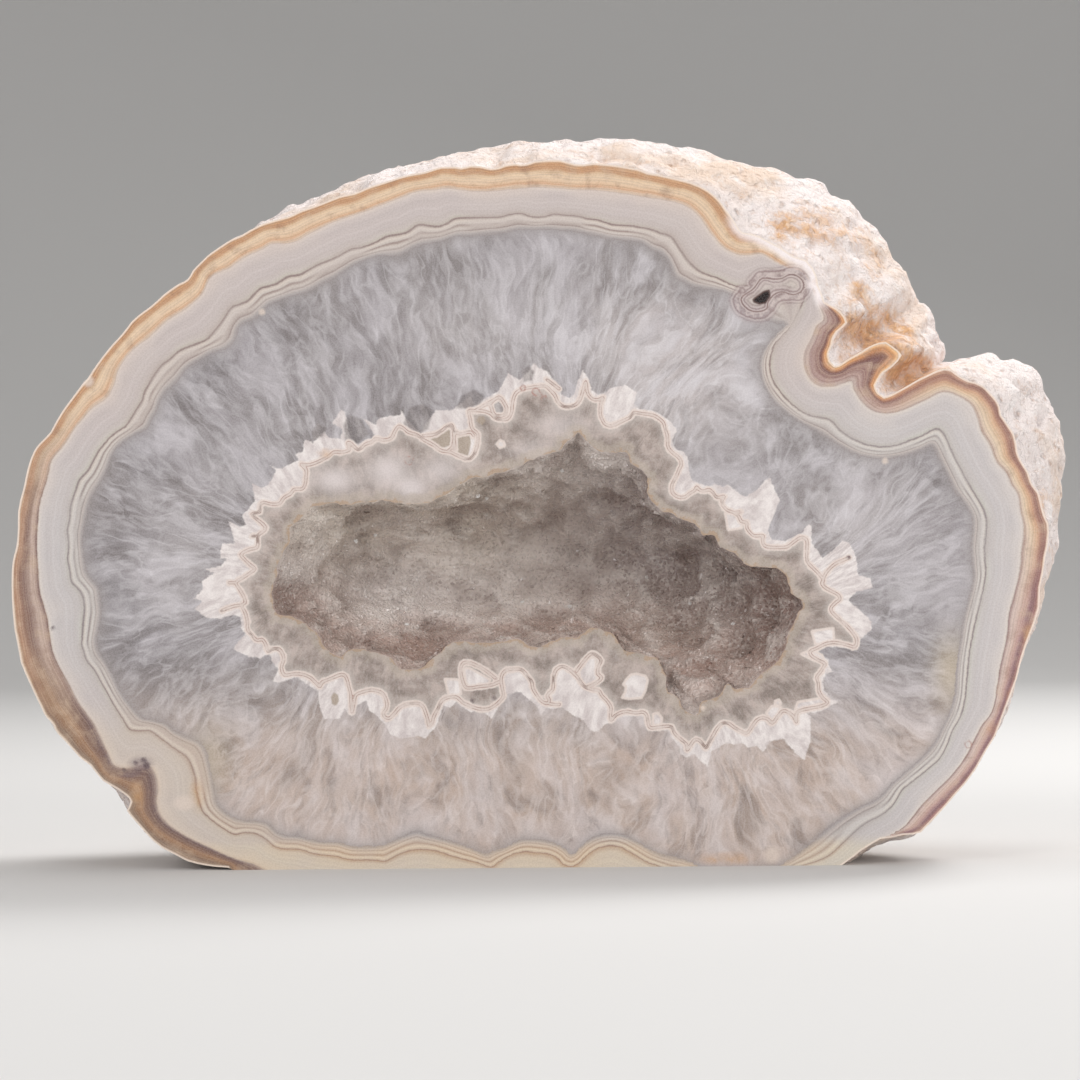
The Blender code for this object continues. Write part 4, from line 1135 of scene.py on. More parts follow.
for i in range(CRYSTALS):
    nrm = normal[i] + rng.normal(0, 0.24, 3)
    if i in bright:
        nrm = np.array([-0.25, -0.92, 0.30])
    nrm /= np.linalg.norm(nrm)
    side = np.cross(nrm, (0.3, 0.2, 0.93))
    side /= np.linalg.norm(side)
    up = np.cross(nrm, side)
    r = 0.00043 * math.exp(rng.normal(0, 0.30))
    h = r * rng.uniform(0.40, 0.85)
    if i in bright:
        r, h = 0.00056, 0.00072
    spin = rng.uniform(0, math.pi / 3)
    ca, sa = np.cos(hexa + spin) * r, np.sin(hexa + spin) * r
    ca *= rng.uniform(0.8, 1.2)
    base = foot[i] - nrm * (0.45 * r)
    ring = base + ca[:, None] * side + sa[:, None] * up
    tip = base + nrm * (h + 0.25 * r) + side * rng.normal(0, 0.12) * r
    if tip[1] < FACE_Y + 0.00012 or ring[:, 1].min() < FACE_Y + 0.00008:
        continue
    first = len(verts)
    verts.extend(ring.tolist())
    verts.append(tip.tolist())
    polys.extend([(first + j, first + (j + 1) % 6, first + 6) for j in range(6)])
    polys.append(tuple(first + j for j in range(5, -1, -1)))
    t = rng.random()
    spot = np.array([MID_X + ((foot[i][0] - SHIFT_X) * c - foot[i][2] * s) / STEP,
                     BASE_ROW - (foot[i][2] * c + (foot[i][0] - SHIFT_X) * s) / STEP])
    seen = np.array(EYE) + (spot - np.array(EYE)) * EYE_FAR / (EYE_FAR + foot[i][1] - FACE_Y)
    # these crystals get tint 2, a near-white base colour: a painted glint
    if i in bright:
        t = 2.0
    tints.extend([t] * 7)
    spots_at.extend([tuple(seen)] * 7)
    reliefs.extend([relief_flat[tri[pick[i], 0]] if tri[pick[i], 0] < len(relief_flat) else 0.0] * 7)
druse_mesh = bpy.data.meshes.new("druse")
druse_mesh.from_pydata(verts, [], polys)
layer = druse_mesh.attributes.new("tint", "FLOAT", "POINT")
layer.data.foreach_set("value", np.array(tints, np.float32))
layer = druse_mesh.attributes.new("hollow", "FLOAT_VECTOR", "POINT")
layer.data.foreach_set("vector", hollow_tones(np.array(spots_at)).astype(np.float32).ravel())
layer = druse_mesh.attributes.new("painted_shade", "FLOAT", "POINT")
layer.data.foreach_set("value", hollow_painted_shade(np.array(spots_at)).astype(np.float32))
layer = druse_mesh.attributes.new("relief", "FLOAT", "POINT")
layer.data.foreach_set("value", np.array(reliefs, np.float32))
druse_bm = bmesh.new()
druse_bm.from_mesh(druse_mesh)
bmesh.ops.triangulate(druse_bm, faces=druse_bm.faces[:])
bmesh.ops.recalc_face_normals(druse_bm, faces=druse_bm.faces[:])
druse_bm.to_mesh(druse_mesh)
druse_bm.free()
druse = bpy.data.objects.new("druse", druse_mesh)
bpy.context.scene.collection.objects.link(druse)
print("druse", len(druse_mesh.polygons))


# ---------------------------------------------------------------- materials
def lin(rgb):
    v = [x / 255 for x in rgb]
    return [x / 12.92 if x <= 0.04045 else ((x + 0.055) / 1.055) ** 2.4 for x in v] + [1.0]


class Net:
    def __init__(self, name):
        self.material = bpy.data.materials.new(name)
        self.material.use_nodes = True
        self.tree = self.material.node_tree
        self.tree.nodes.clear()
        self.out = self.tree.nodes.new("ShaderNodeOutputMaterial")
        self.shader = self.tree.nodes.new("ShaderNodeBsdfPrincipled")
        self.link(self.shader.outputs[0], self.out.inputs["Surface"])

    def link(self, a, b):
        self.tree.links.new(a, b)

    def put(self, socket, value):
        if isinstance(value, bpy.types.NodeSocket):
            self.link(value, socket)
        elif value is not None:
            socket.default_value = value

    def attr(self, name, vector=False):
        node = self.tree.nodes.new("ShaderNodeAttribute")
        node.attribute_name = name
        return node.outputs["Vector" if vector else "Fac"]

    def split(self, v):
        node = self.tree.nodes.new("ShaderNodeSeparateXYZ")
        self.link(v, node.inputs[0])
        return list(node.outputs)

    def join(self, x, y, z):
        node = self.tree.nodes.new("ShaderNodeCombineXYZ")
        for socket, v in zip(node.inputs, (x, y, z)):
            self.put(socket, v)
        return node.outputs[0]

    def math(self, op, a, b=None, c=None, clamp=False):
        node = self.tree.nodes.new("ShaderNodeMath")
        node.operation = op
        node.use_clamp = clamp
        for socket, v in zip(node.inputs, (a, b, c)):
            self.put(socket, v)
        return node.outputs[0]

    def span(self, v, a, b, c=0.0, d=1.0, smooth=False):
        node = self.tree.nodes.new("ShaderNodeMapRange")
        node.interpolation_type = "SMOOTHSTEP" if smooth else "LINEAR"
        for socket, x in zip(node.inputs, (v, a, b, c, d)):
            self.put(socket, x)
        return node.outputs[0]

    def ramp(self, v, stops, low=0.0, high=1.0):
        node = self.tree.nodes.new("ShaderNodeValToRGB")
        if (low, high) != (0.0, 1.0):
            v = self.span(v, low, high)
        self.link(v, node.inputs[0])
        elements = node.color_ramp.elements
        while len(elements) < len(stops):
            elements.new(0.5)
        for e, (pos, colour) in zip(elements, stops):
            e.position = (pos - low) / (high - low)
            e.color = lin(colour)
        return node.outputs[0]

    def mix(self, fac, a, b, mode="MIX"):
        node = self.tree.nodes.new("ShaderNodeMix")
        node.data_type = "RGBA"
        node.blend_type = mode
        node.clamp_factor = True
        sockets = [x for x in node.inputs if x.type == "RGBA"]
        self.put(node.inputs[0], fac)
        for socket, v in zip(sockets, (a, b)):
            self.put(socket, lin(v) if isinstance(v, tuple) else v)
        return [x for x in node.outputs if x.type == "RGBA"][0]

    def noise(self, vector, scale=1.0, detail=2.0, rough=0.5, distort=0.0, colour=False):
        node = self.tree.nodes.new("ShaderNodeTexNoise")
        self.put(node.inputs["Vector"], vector)
        node.inputs["Scale"].default_value = scale
        node.inputs["Detail"].default_value = detail
        node.inputs["Roughness"].default_value = rough
        node.inputs["Distortion"].default_value = distort
        return node.outputs["Color" if colour else "Fac"]

    def cells(self, vector, scale=1.0, feature="F1", out="Distance", random=1.0):
        node = self.tree.nodes.new("ShaderNodeTexVoronoi")
        node.feature = feature
        self.put(node.inputs["Vector"], vector)
        node.inputs["Scale"].default_value = scale
        if "Randomness" in node.inputs:
            node.inputs["Randomness"].default_value = random
        return node.outputs[out]

    def times(self, v, x, y=None, z=None):
        node = self.tree.nodes.new("ShaderNodeVectorMath")
        node.operation = "MULTIPLY"
        self.link(v, node.inputs[0])
        node.inputs[1].default_value = (x, x if y is None else y, x if z is None else z)
        return node.outputs[0]

    def plus(self, a, b):
        node = self.tree.nodes.new("ShaderNodeVectorMath")
        node.operation = "ADD"
        self.link(a, node.inputs[0])
        self.put(node.inputs[1], b)
        return node.outputs[0]

    def bump(self, height, strength, dist, normal=None):
        node = self.tree.nodes.new("ShaderNodeBump")
        node.inputs["Strength"].default_value = strength
        node.inputs["Distance"].default_value = dist
        self.link(height, node.inputs["Height"])
        if normal is not None:
            self.link(normal, node.inputs["Normal"])
        return node.outputs[0]


def polished_agate(name, bands=True, quartz=True, line=True):
    """The face. A region that no band, quartz or jagged line reaches leaves that part out."""
    m = Net(name)
    place, fibre = m.attr("place", True), m.attr("fibre", True)
    w_left, w_low, w_right = m.split(m.attr("style", True))
    w_notch, w_base, w_warm = m.split(m.attr("style2", True))
    dim, shine, glow = m.split(m.attr("shade", True))
    corner = m.attr("corner")
    milky, tint, blue = m.split(m.attr("tone", True))
    spots, pale, rust = m.split(m.attr("marks", True))
    u0 = m.attr("band")
    # small waves of the layers, and layers of uneven strength
    wave = m.noise(place, 2.6, 3.0, 0.55)
    wave2 = m.noise(place, 9.0, 2.0, 0.5)
    shift = m.math("ADD", m.math("MULTIPLY", m.math("SUBTRACT", wave, 0.5), 0.10),
                   m.math("MULTIPLY", m.math("SUBTRACT", wave2, 0.5), 0.035))
    u = m.math("ADD", u0, shift)
    cloud = m.noise(place, 1.1, 3.0, 0.55)
    colour = None
    if bands:
        inside_ = m.math("MULTIPLY", u0, 1.0, clamp=True)
        room = m.math("MULTIPLY", inside_, m.math("SUBTRACT", 1.0, inside_))
        uo = m.math("ADD", u, m.math("MULTIPLY", m.math("MULTIPLY", m.math("SUBTRACT", cloud, 0.5), 3.2), room))
        outer_top = m.ramp(uo, [
            (0.00, (236, 214, 196)), (0.04, (222, 184, 150)), (0.16, (200, 152, 112)),
            (0.30, (205, 160, 124)), (0.40, (224, 194, 160)), (0.52, (232, 206, 177)),
            (0.66, (229, 201, 172)), (0.78, (222, 188, 156)), (0.86, (214, 172, 140)),
            (0.93, (222, 196, 172)), (1.00, (212, 192, 176))])
        outer_left = m.ramp(uo, [
            (0.00, (228, 208, 192)), (0.06, (212, 184, 160)), (0.13, (178, 138, 112)),
            (0.27, (184, 148, 126)), (0.38, (144, 110, 94)), (0.55, (134, 106, 98)),
            (0.66, (172, 148, 138)), (0.80, (200, 178, 166)), (0.92, (172, 147, 138)),
            (0.975, (112, 88, 86)), (1.00, (176, 152, 140))])
        outer_low = m.ramp(uo, [
            (0.00, (200, 180, 160)), (0.05, (176, 152, 132)), (0.18, (144, 122, 106)),
            (0.32, (150, 116, 90)), (0.48, (166, 128, 98)), (0.62, (138, 108, 92)),
            (0.76, (126, 100, 92)), (0.88, (110, 88, 88)), (0.955, (156, 136, 130)),
            (1.00, (188, 172, 160))])
        outer_right = m.ramp(uo, [
            (0.00, (238, 212, 206)), (0.06, (220, 184, 172)), (0.14, (168, 126, 122)),
            (0.24, (138, 102, 108)), (0.36, (152, 118, 124)), (0.46, (184, 148, 144)),
            (0.58, (200, 168, 158)), (0.72, (210, 186, 176)), (0.86, (210, 190, 182)),
            (0.94, (182, 158, 154)), (0.975, (142, 120, 120)), (1.00, (186, 167, 162))])
        outer_corner = m.ramp(uo, [
            (0.00, (236, 212, 200)), (0.06, (206, 166, 146)), (0.16, (150, 112, 104)),
            (0.28, (178, 134, 118)), (0.40, (208, 164, 134)), (0.54, (222, 188, 156)),
            (0.72, (226, 204, 178)), (0.88, (220, 200, 182)), (0.95, (188, 164, 152)),
            (1.00, (198, 182, 172))])
        outer_notch = m.ramp(uo, [
            (0.00, (242, 200, 148)), (0.10, (232, 172, 114)), (0.20, (206, 144, 100)),
            (0.29, (142, 98, 84)), (0.37, (122, 86, 86)), (0.45, (166, 134, 124)),
            (0.55, (150, 116, 112)), (0.66, (184, 156, 148)), (0.78, (168, 140, 136)),
            (0.90, (198, 178, 170)), (1.00, (184, 166, 160))])
        outer = m.mix(w_left, outer_top, outer_left)
        outer = m.mix(w_low, outer, outer_low)
        outer = m.mix(w_right, outer, outer_right)
        outer = m.mix(corner, outer, outer_corner)
        broken = m.math("MULTIPLY", m.span(wave2, 0.42, 0.60, 0.0, 0.6), m.span(u, 0.26, 0.10))
        outer_notch = m.mix(broken, outer_notch, (222, 190, 164))
        outer = m.mix(w_notch, outer, outer_notch)
        mottle = m.noise(place, 5.0, 4.0, 0.6)
        outer = m.mix(m.span(mottle, 0.50, 0.68, 0, 0.50), outer, (204, 178, 154))
        outer = m.mix(m.span(mottle, 0.46, 0.30, 0, 0.42), outer, (140, 108, 92))
        band_cold = m.ramp(u, [
            (1.00, (196, 178, 168)), (1.04, (216, 202, 192)), (1.12, (208, 196, 191)),
            (1.30, (198, 187, 184)), (1.50, (202, 191, 188)), (1.70, (196, 185, 182)),
            (1.84, (201, 191, 186)), (1.93, (198, 190, 180)), (1.960, (178, 164, 156)),
            (1.985, (144, 127, 124)), (2.025, (150, 134, 130)), (2.07, (202, 188, 178)),
            (2.17, (214, 203, 194)), (2.30, (200, 189, 182)), (2.36, (160, 144, 138)),
            (2.43, (166, 150, 144)), (2.50, (206, 195, 187)), (2.60, (208, 199, 193)),
            (2.69, (176, 163, 157)), (2.75, (196, 187, 183)), (2.88, (178, 170, 168)),
            (3.00, (158, 150, 149))], low=1.0, high=3.0)
        band_base = m.ramp(u, [
            (1.00, (204, 182, 160)), (1.10, (220, 203, 182)), (1.50, (214, 201, 184)),
            (1.85, (218, 202, 181)), (1.97, (196, 168, 142)), (2.00, (170, 138, 120)),
            (2.05, (212, 190, 166)), (2.20, (226, 208, 184)), (2.38, (190, 160, 136)),
            (2.44, (206, 180, 156)), (2.60, (224, 206, 184)), (2.72, (198, 172, 150)),
            (2.80, (214, 196, 176)), (3.00, (182, 166, 154))], low=1.0, high=3.0)
        band_soft = m.ramp(u, [
            (1.00, (196, 178, 168)), (1.05, (212, 198, 190)), (1.40, (204, 193, 189)),
            (1.80, (198, 187, 183)), (1.94, (190, 177, 171)), (1.985, (158, 143, 138)),
            (2.03, (178, 165, 160)), (2.12, (208, 197, 190)), (2.36, (203, 192, 186)),
            (2.60, (180, 167, 161)), (2.67, (158, 144, 139)), (2.74, (196, 186, 181)),
            (2.88, (176, 168, 166)), (3.00, (158, 150, 149))], low=1.0, high=3.0)
        band_cold = m.mix(m.span(m.noise(place, 1.7, 2.0, 0.5), 0.42, 0.60), band_cold, band_soft)
        banding = m.mix(m.math("MULTIPLY", w_base, m.span(wave, 0.36, 0.56, 0.78, 1.0)), band_cold, band_base)
        banding = m.mix(m.math("MULTIPLY", m.math("MAXIMUM", w_left, w_right), m.span(u, 2.80, 2.55)), banding, (10, 50, 60), "ADD")
        rings_ = m.mix(m.span(u, 0.995, 1.005), outer, banding)
        # thin layers that run with the bands
        sheet = m.join(m.math("MULTIPLY", u0, 13.0), m.math("MULTIPLY", wave, 1.2), 0.0)
        layers = m.noise(sheet, 1.0, 3.0, 0.65)
        rings_ = m.mix(m.span(layers, 0.38, 0.66, 0.0, 0.16), rings_, (150, 126, 116), "MIX")
        rings_ = m.mix(m.span(layers, 0.56, 0.74, 0.0, 0.16), rings_, (240, 230, 220), "MIX")
        strong = m.noise(m.join(m.math("MULTIPLY", u0, 30.0), m.math("MULTIPLY", wave, 1.5), 3.0), 1.0, 2.0, 0.6)
        skin = m.span(u, 1.0, 0.97)
        rings_ = m.mix(m.math("MULTIPLY", skin, m.span(strong, 0.50, 0.68, 0, 0.40)), rings_, (128, 98, 82))
        rings_ = m.mix(m.math("MULTIPLY", skin, m.span(strong, 0.46, 0.30, 0, 0.38)), rings_, (236, 214, 190))
        colour = rings_
    # quartz
    bend = m.noise(place, 1.3, 2.0, 0.5, colour=True) if quartz or line else None
    if quartz or line:
        rooted = m.plus(fibre, m.times(bend, 0.55, 0.55, 0.25))
        rx, ry, rz = m.split(rooted)

    def leaning(across, tilt, along):
        return m.join(m.math("ADD", m.math("MULTIPLY", rx, across), m.math("MULTIPLY", rz, tilt)),
                      m.math("SUBTRACT", m.math("MULTIPLY", ry, across), m.math("MULTIPLY", rz, tilt * 0.7)),
                      m.math("MULTIPLY", rz, along))

    if quartz or line:
        thread = m.noise(leaning(7.5, 2.6, 5.0), 1.0, 3.0, 0.58)
    if quartz:
        feather = m.noise(leaning(3.0, 0.7, 3.2), 1.0, 3.0, 0.60, 0.2)
        cotton = m.noise(leaning(1.5, 0.3, 1.9), 1.0, 2.0, 0.5)
        cross = m.noise(leaning(8.5, -3.4, 5.4), 1.0, 3.0, 0.58)
        hair = m.noise(leaning(18.0, 1.5, 12.0), 1.0, 2.0, 0.5)
        wisp = m.math("ABSOLUTE", m.math("SUBTRACT", m.noise(leaning(5.0, 2.4, 3.0), 1.0, 2.0, 0.5), 0.5))
        wisp2 = m.math("ABSOLUTE", m.math("SUBTRACT", m.noise(leaning(6.0, -2.8, 3.4), 1.0, 2.0, 0.5), 0.5))
        blades = m.cells(leaning(7.0, 1.0, 6.0), 1.0, "F1", "Color")
        blade = m.split(blades)[0]
        patch = m.noise(place, 7.0, 4.0, 0.65, 0.8)
        deep = m.math("SUBTRACT", u0, 3.0)
        base = m.mix(w_warm, (138, 132, 131), (192, 176, 167))
        base = m.mix(m.math("MULTIPLY", blue, 0.5), base, (158, 155, 160))
        base = m.mix(m.span(cloud, 0.35, 0.70, 0.0, 0.42), base, (184, 176, 174))
        base = m.mix(m.math("MULTIPLY", milky, 0.70), base, (204, 194, 193))
        base = m.mix(m.math("MULTIPLY", dim, 0.60), base, (128, 120, 118))
        base = m.mix(m.math("MULTIPLY", shine, 0.34), base, (198, 193, 195))
        base = m.mix(m.span(cotton, 0.46, 0.66, 0.0, 0.55, True), base, (200, 194, 197))
        base = m.mix(m.span(cotton, 0.46, 0.30, 0.0, 0.45, True), base, (130, 122, 120))
        shade = m.mix(m.span(feather, 0.48, 0.70, 0.0, 0.60, True), base, (208, 203, 206))
        shade = m.mix(m.span(feather, 0.47, 0.28, 0.0, 0.60, True), shade, (124, 116, 115))
        veil = m.span(m.noise(place, 2.3, 2.0, 0.5), 0.40, 0.62)
        back_veil = m.span(veil, 0.9, 0.1)
        shade = m.mix(m.math("MULTIPLY", m.span(thread, 0.48, 0.72, 0.0, 0.55, True), m.span(veil, 0.0, 1.0, 0.45, 1.0)), shade, (224, 219, 222))
        shade = m.mix(m.math("MULTIPLY", m.span(cross, 0.48, 0.72, 0.0, 0.45, True), m.span(back_veil, 0.0, 1.0, 0.35, 1.0)), shade, (220, 215, 218))
        shade = m.mix(m.span(thread, 0.46, 0.28, 0.0, 0.40, True), shade, (130, 122, 121))
        shade = m.mix(m.span(cross, 0.45, 0.28, 0.0, 0.30, True), shade, (134, 126, 125))
        shade = m.mix(m.span(hair, 0.52, 0.72, 0.0, 0.08, True), shade, (224, 219, 221))
        shade = m.mix(m.span(hair, 0.48, 0.30, 0.0, 0.07, True), shade, (128, 120, 119))
        shade = m.mix(m.math("MULTIPLY", m.span(wisp, 0.060, 0.0, 0.0, 0.34, True), veil), shade, (230, 226, 228))
        shade = m.mix(m.math("MULTIPLY", m.span(wisp2, 0.055, 0.0, 0.0, 0.30, True), back_veil), shade, (226, 222, 224))
        shade = m.mix(m.span(blade, 0.5, 1.0, 0.0, 0.20), shade, (216, 211, 212))
        shade = m.mix(m.span(blade, 0.45, 0.0, 0.0, 0.18), shade, (130, 122, 121))
        shade = m.mix(m.span(patch, 0.54, 0.74, 0.0, 0.22, True), shade, (214, 209, 211))
        shade = m.mix(m.span(m.math("ADD", milky, w_warm), 0.0, 0.8, 1.0, 0.0), shade, (238, 237, 238), "MULTIPLY")
        shade = m.mix(w_warm, shade, (255, 248, 242), "MULTIPLY")
        calm = m.mix(0.5, base, (158, 150, 149))
        inner = m.mix(m.span(deep, 0.0, 0.14, 0.35, 1.0, True), calm, shade)
        inner = m.mix(m.span(deep, 0.0, 0.05, 0.40, 0.0), inner, (150, 142, 140))
        inner = m.mix(m.math("MULTIPLY", tint, 0.5), inner, (208, 190, 162))
        colour = m.mix(m.span(u, 2.985, 3.01), colour, inner) if bands else inner
    border = None
    if line:
        low_left_ = m.math("MULTIPLY", w_base, m.span(m.split(place)[0], 3.0, 2.4))
        # white teeth outside the line, cells and borders
        zig, teeth_ = m.attr("zig"), m.attr("teeth")
        rag = m.math("MULTIPLY", m.math("SUBTRACT", m.noise(place, 26.0, 2.0), 0.5), 3.2)
        tooth = m.span(m.math("ADD", teeth_, rag), -0.6, 0.8) if quartz else None
        grain = m.noise(m.times(rooted, 9.0, 9.0, 9.0), 1.0, 3.0, 0.6)
        white = m.mix(m.span(grain, 0.36, 0.64), (206, 195, 193), (235, 227, 224))
        if quartz:
            colour = m.mix(m.math("MULTIPLY", tooth, m.span(zig, 0.4, -0.4)), colour, white)
        # lip between the line and the hollow
        rim_gap_ = m.attr("rim")
        lip = m.mix(m.span(m.noise(place, 5.0, 3.0, 0.6), 0.38, 0.64), (143, 130, 123), (190, 175, 168))
        lip = m.mix(m.span(m.noise(m.times(rooted, 16.0, 16.0, 16.0), 1.0, 3.0, 0.7), 0.50, 0.75, 0, 0.45),
                    lip, (204, 195, 189))
        lip = m.mix(m.span(thread, 0.48, 0.30, 0.0, 0.5), lip, (126, 115, 108))
        lip = m.mix(m.span(zig, 1.0, 12.0, 0.60, 0.0, True), lip, (206, 196, 190))
        lip = m.mix(m.math("MULTIPLY", glow, 0.9), lip, (218, 208, 206))
        crust = m.math("ADD", rim_gap_, m.math("MULTIPLY", m.math("SUBTRACT", m.noise(place, 8.0, 3.0, 0.6), 0.5), 22.0))
        lip = m.mix(m.span(crust, 10.5, 6.0, 0.0, 0.50), lip, (190, 177, 164))
        lip = m.mix(m.span(crust, 2.4, 0.4, 0.0, 0.60), lip, (176, 146, 118))
        colour = m.mix(m.span(zig, -0.3, 0.3), colour, lip) if quartz else lip
        colour = m.mix(m.span(m.attr("dark"), -1.8, 0.8, 0, 0.68), colour, m.mix(m.span(grain, 0.42, 0.60), (114, 106, 105), (158, 150, 148)))
        colour = m.mix(m.span(m.attr("tawny"), -0.8, 0.8, 0, 0.9), colour, m.mix(grain, (158, 143, 130), (184, 168, 152)))
        colour = m.mix(m.span(m.attr("cell"), -0.5, 0.7), colour, m.mix(low_left_, white, (238, 225, 200)))
        far_z = m.math("ABSOLUTE", zig)
        near_line = m.math("MINIMUM", far_z, m.attr("side"))
        rough_line = m.math("ADD", near_line, m.math("MULTIPLY", m.math("SUBTRACT", wave2, 0.5), 0.9))
        cell_ = m.math("ABSOLUTE", m.attr("cell"))
        wide_line = m.math("ADD", rough_line, m.math("MULTIPLY", m.math("SUBTRACT", m.noise(place, 17.0, 2.0), 0.5), 3.0))
        wide_line = m.math("MINIMUM", wide_line, m.math("ADD", cell_, 2.2))
        border = m.span(wide_line, 4.1, 2.9)
        colour = m.mix(m.math("MULTIPLY", border, 0.92), colour, m.mix(grain, (216, 200, 192), (232, 220, 213)))
        dark = m.span(m.noise(place, 4.5, 2.0), 0.54, 0.70)
        line_colour = m.mix(dark, (168, 134, 123), (120, 90, 78))
        twin = m.math("ABSOLUTE", m.math("SUBTRACT", rough_line, 1.25))
        faint = m.span(m.noise(place, 11.0, 2.0), 0.36, 0.60, 0.30, 1.0)
        colour = m.mix(m.math("MULTIPLY", m.span(twin, 0.62, 0.12, 0.0, 0.9), faint), colour, line_colour)
        colour = m.mix(m.math("MULTIPLY", m.span(rough_line, 0.9, 0.4), m.span(dark, 0.2, 0.9, 0.1, 0.8)),
                       colour, (112, 82, 70))
    # pocket
    colour = m.mix(m.span(m.attr("quiet"), 0.2, 0.7, 0.0, 0.75, True), colour, (192, 180, 175))
    pocket_ = m.attr("pocket")
    near_pocket = m.span(pocket_, 10.0, 1.5, 0.0, 0.60, True)
    colour = m.mix(near_pocket, colour, (168, 150, 150))
    wavy = m.math("ADD", pocket_, m.math("MULTIPLY", m.math("SUBTRACT", wave2, 0.5), 5.0))
    rings_p = m.math("SINE", m.math("MULTIPLY", wavy, 1.7))
    fade_p = m.span(pocket_, 9.0, 2.0, 0.0, 0.6)
    colour = m.mix(m.math("MULTIPLY", m.span(rings_p, 0.2, 0.9), fade_p), colour, (212, 198, 194))
    colour = m.mix(m.math("MULTIPLY", m.span(rings_p, -0.2, -0.9), fade_p), colour, (138, 116, 116))
    colour = m.mix(m.span(pocket_, 1.1, 0.4, 0.0, 0.8), colour, (136, 113, 110))
    # painted shade: dark at the rim of the pocket hole and near black inside it
    colour = m.mix(m.span(m.attr("hole"), -1.6, -0.2), colour, (92, 72, 68))
    colour = m.mix(m.span(m.attr("hole"), 0.2, 1.2), colour, (42, 34, 34))
    # marks
    colour = m.mix(m.span(m.attr("loops"), 1.3, 0.4, 0, 0.7), colour, (170, 126, 116))
    # painted highlight along the face edge above the notch
    highlight_reach = m.math("ADD", m.attr("edge"), m.math("MULTIPLY", m.math("SUBTRACT", wave2, 0.5), 9.0))
    colour = m.mix(m.math("MULTIPLY", m.attr("rim_highlight"), m.span(highlight_reach, 13.0, 3.0, 0.0, 0.92, True)), colour, (250, 241, 241))
    colour = m.mix(m.math("MULTIPLY", m.span(rust, 0.15, 0.95, 0, 0.70), m.span(wave2, 0.30, 0.60, 0.35, 1.0)), colour, (202, 156, 108))
    colour = m.mix(m.span(pale, 0.30, 0.75, 0, 0.75), colour, (222, 206, 194))
    colour = m.mix(m.span(spots, 0.25, 0.8, 0, 0.55), colour, (122, 104, 112))
    colour = m.mix(m.span(m.math("ADD", m.attr("dot"), m.math("MULTIPLY", m.math("SUBTRACT", m.noise(place, 40.0, 2.0), 0.5), 3.0)), -1.6, 0.9, 0, 0.75), colour, (88, 70, 76))
    # painted highlight: a thin pale line along the outer edge of the face
    colour = m.mix(m.span(m.attr("edge"), 2.2, 1.0, 0, 0.8), colour, (240, 224, 210))
    m.link(colour, m.shader.inputs["Base Color"])
    fine = m.noise(place, 60.0, 2.0, 0.6)
    m.link(m.span(fine, 0.3, 0.7, 0.20, 0.36), m.shader.inputs["Roughness"])
    height = m.math("MULTIPLY", fine, 0.35)
    if border is not None:
        height = m.math("ADD", height, m.math("MULTIPLY", border, 0.6))
    m.link(m.bump(height, 0.12, 0.0001), m.shader.inputs["Normal"])
    m.shader.inputs["IOR"].default_value = 1.54
    return m.material


def rough_rind(name):
    m = Net(name)
    coords = m.tree.nodes.new("ShaderNodeTexCoord").outputs["Object"]
    big = m.noise(coords, 45.0, 4.0, 0.55, 0.4)
    mid_ = m.noise(coords, 170.0, 5.0, 0.6, 0.3)
    grain = m.noise(coords, 900.0, 4.0, 0.65)
    pits = m.cells(m.plus(coords, m.times(m.noise(coords, 300.0, 2.0, colour=True), 0.002)),
                   330.0, "F1", "Distance")
    sugar = m.noise(coords, 480.0, 3.0, 0.7, 0.5)
    ochre_ = m.math("ADD", m.math("ADD", m.attr("ochre"), m.math("MULTIPLY", m.math("SUBTRACT", mid_, 0.5), 2.4)), m.math("MULTIPLY", m.math("SUBTRACT", sugar, 0.5), 1.2))
    colour = m.mix(m.span(big, 0.44, 0.68, 0, 0.8, True), (246, 234, 230), (234, 207, 184))
    colour = m.mix(m.span(mid_, 0.56, 0.76, 0, 0.5, True), colour, (218, 176, 142))
    colour = m.mix(m.span(mid_, 0.45, 0.30, 0, 0.7, True), colour, (248, 240, 237))
    colour = m.mix(m.span(ochre_, 0.25, 1.1, 0, 0.85, True), colour, m.mix(m.span(sugar, 0.40, 0.60), (196, 140, 92), (230, 176, 118)))
    colour = m.mix(m.span(pits, 0.26, 0.04, 0, 0.40, True), colour, (196, 150, 118))
    colour = m.mix(m.span(sugar, 0.55, 0.72, 0, 0.40, True), colour, (250, 244, 240))
    colour = m.mix(m.span(sugar, 0.44, 0.30, 0, 0.35, True), colour, (204, 166, 138))
    colour = m.mix(m.span(grain, 0.58, 0.76, 0, 0.30), colour, (180, 142, 118))
    m.link(colour, m.shader.inputs["Base Color"])
    m.link(m.span(grain, 0.3, 0.7, 0.72, 0.95), m.shader.inputs["Roughness"])
    height = m.math("ADD", m.math("MULTIPLY", mid_, 0.9),
                    m.math("ADD", m.math("ADD", m.math("MULTIPLY", grain, 0.35),
                                                m.math("MULTIPLY", sugar, 0.55)),
                           m.span(pits, 0.0, 0.30, -0.35, 0.0)))
    m.link(m.bump(height, 1.0, 0.0018), m.shader.inputs["Normal"])
    return m.material


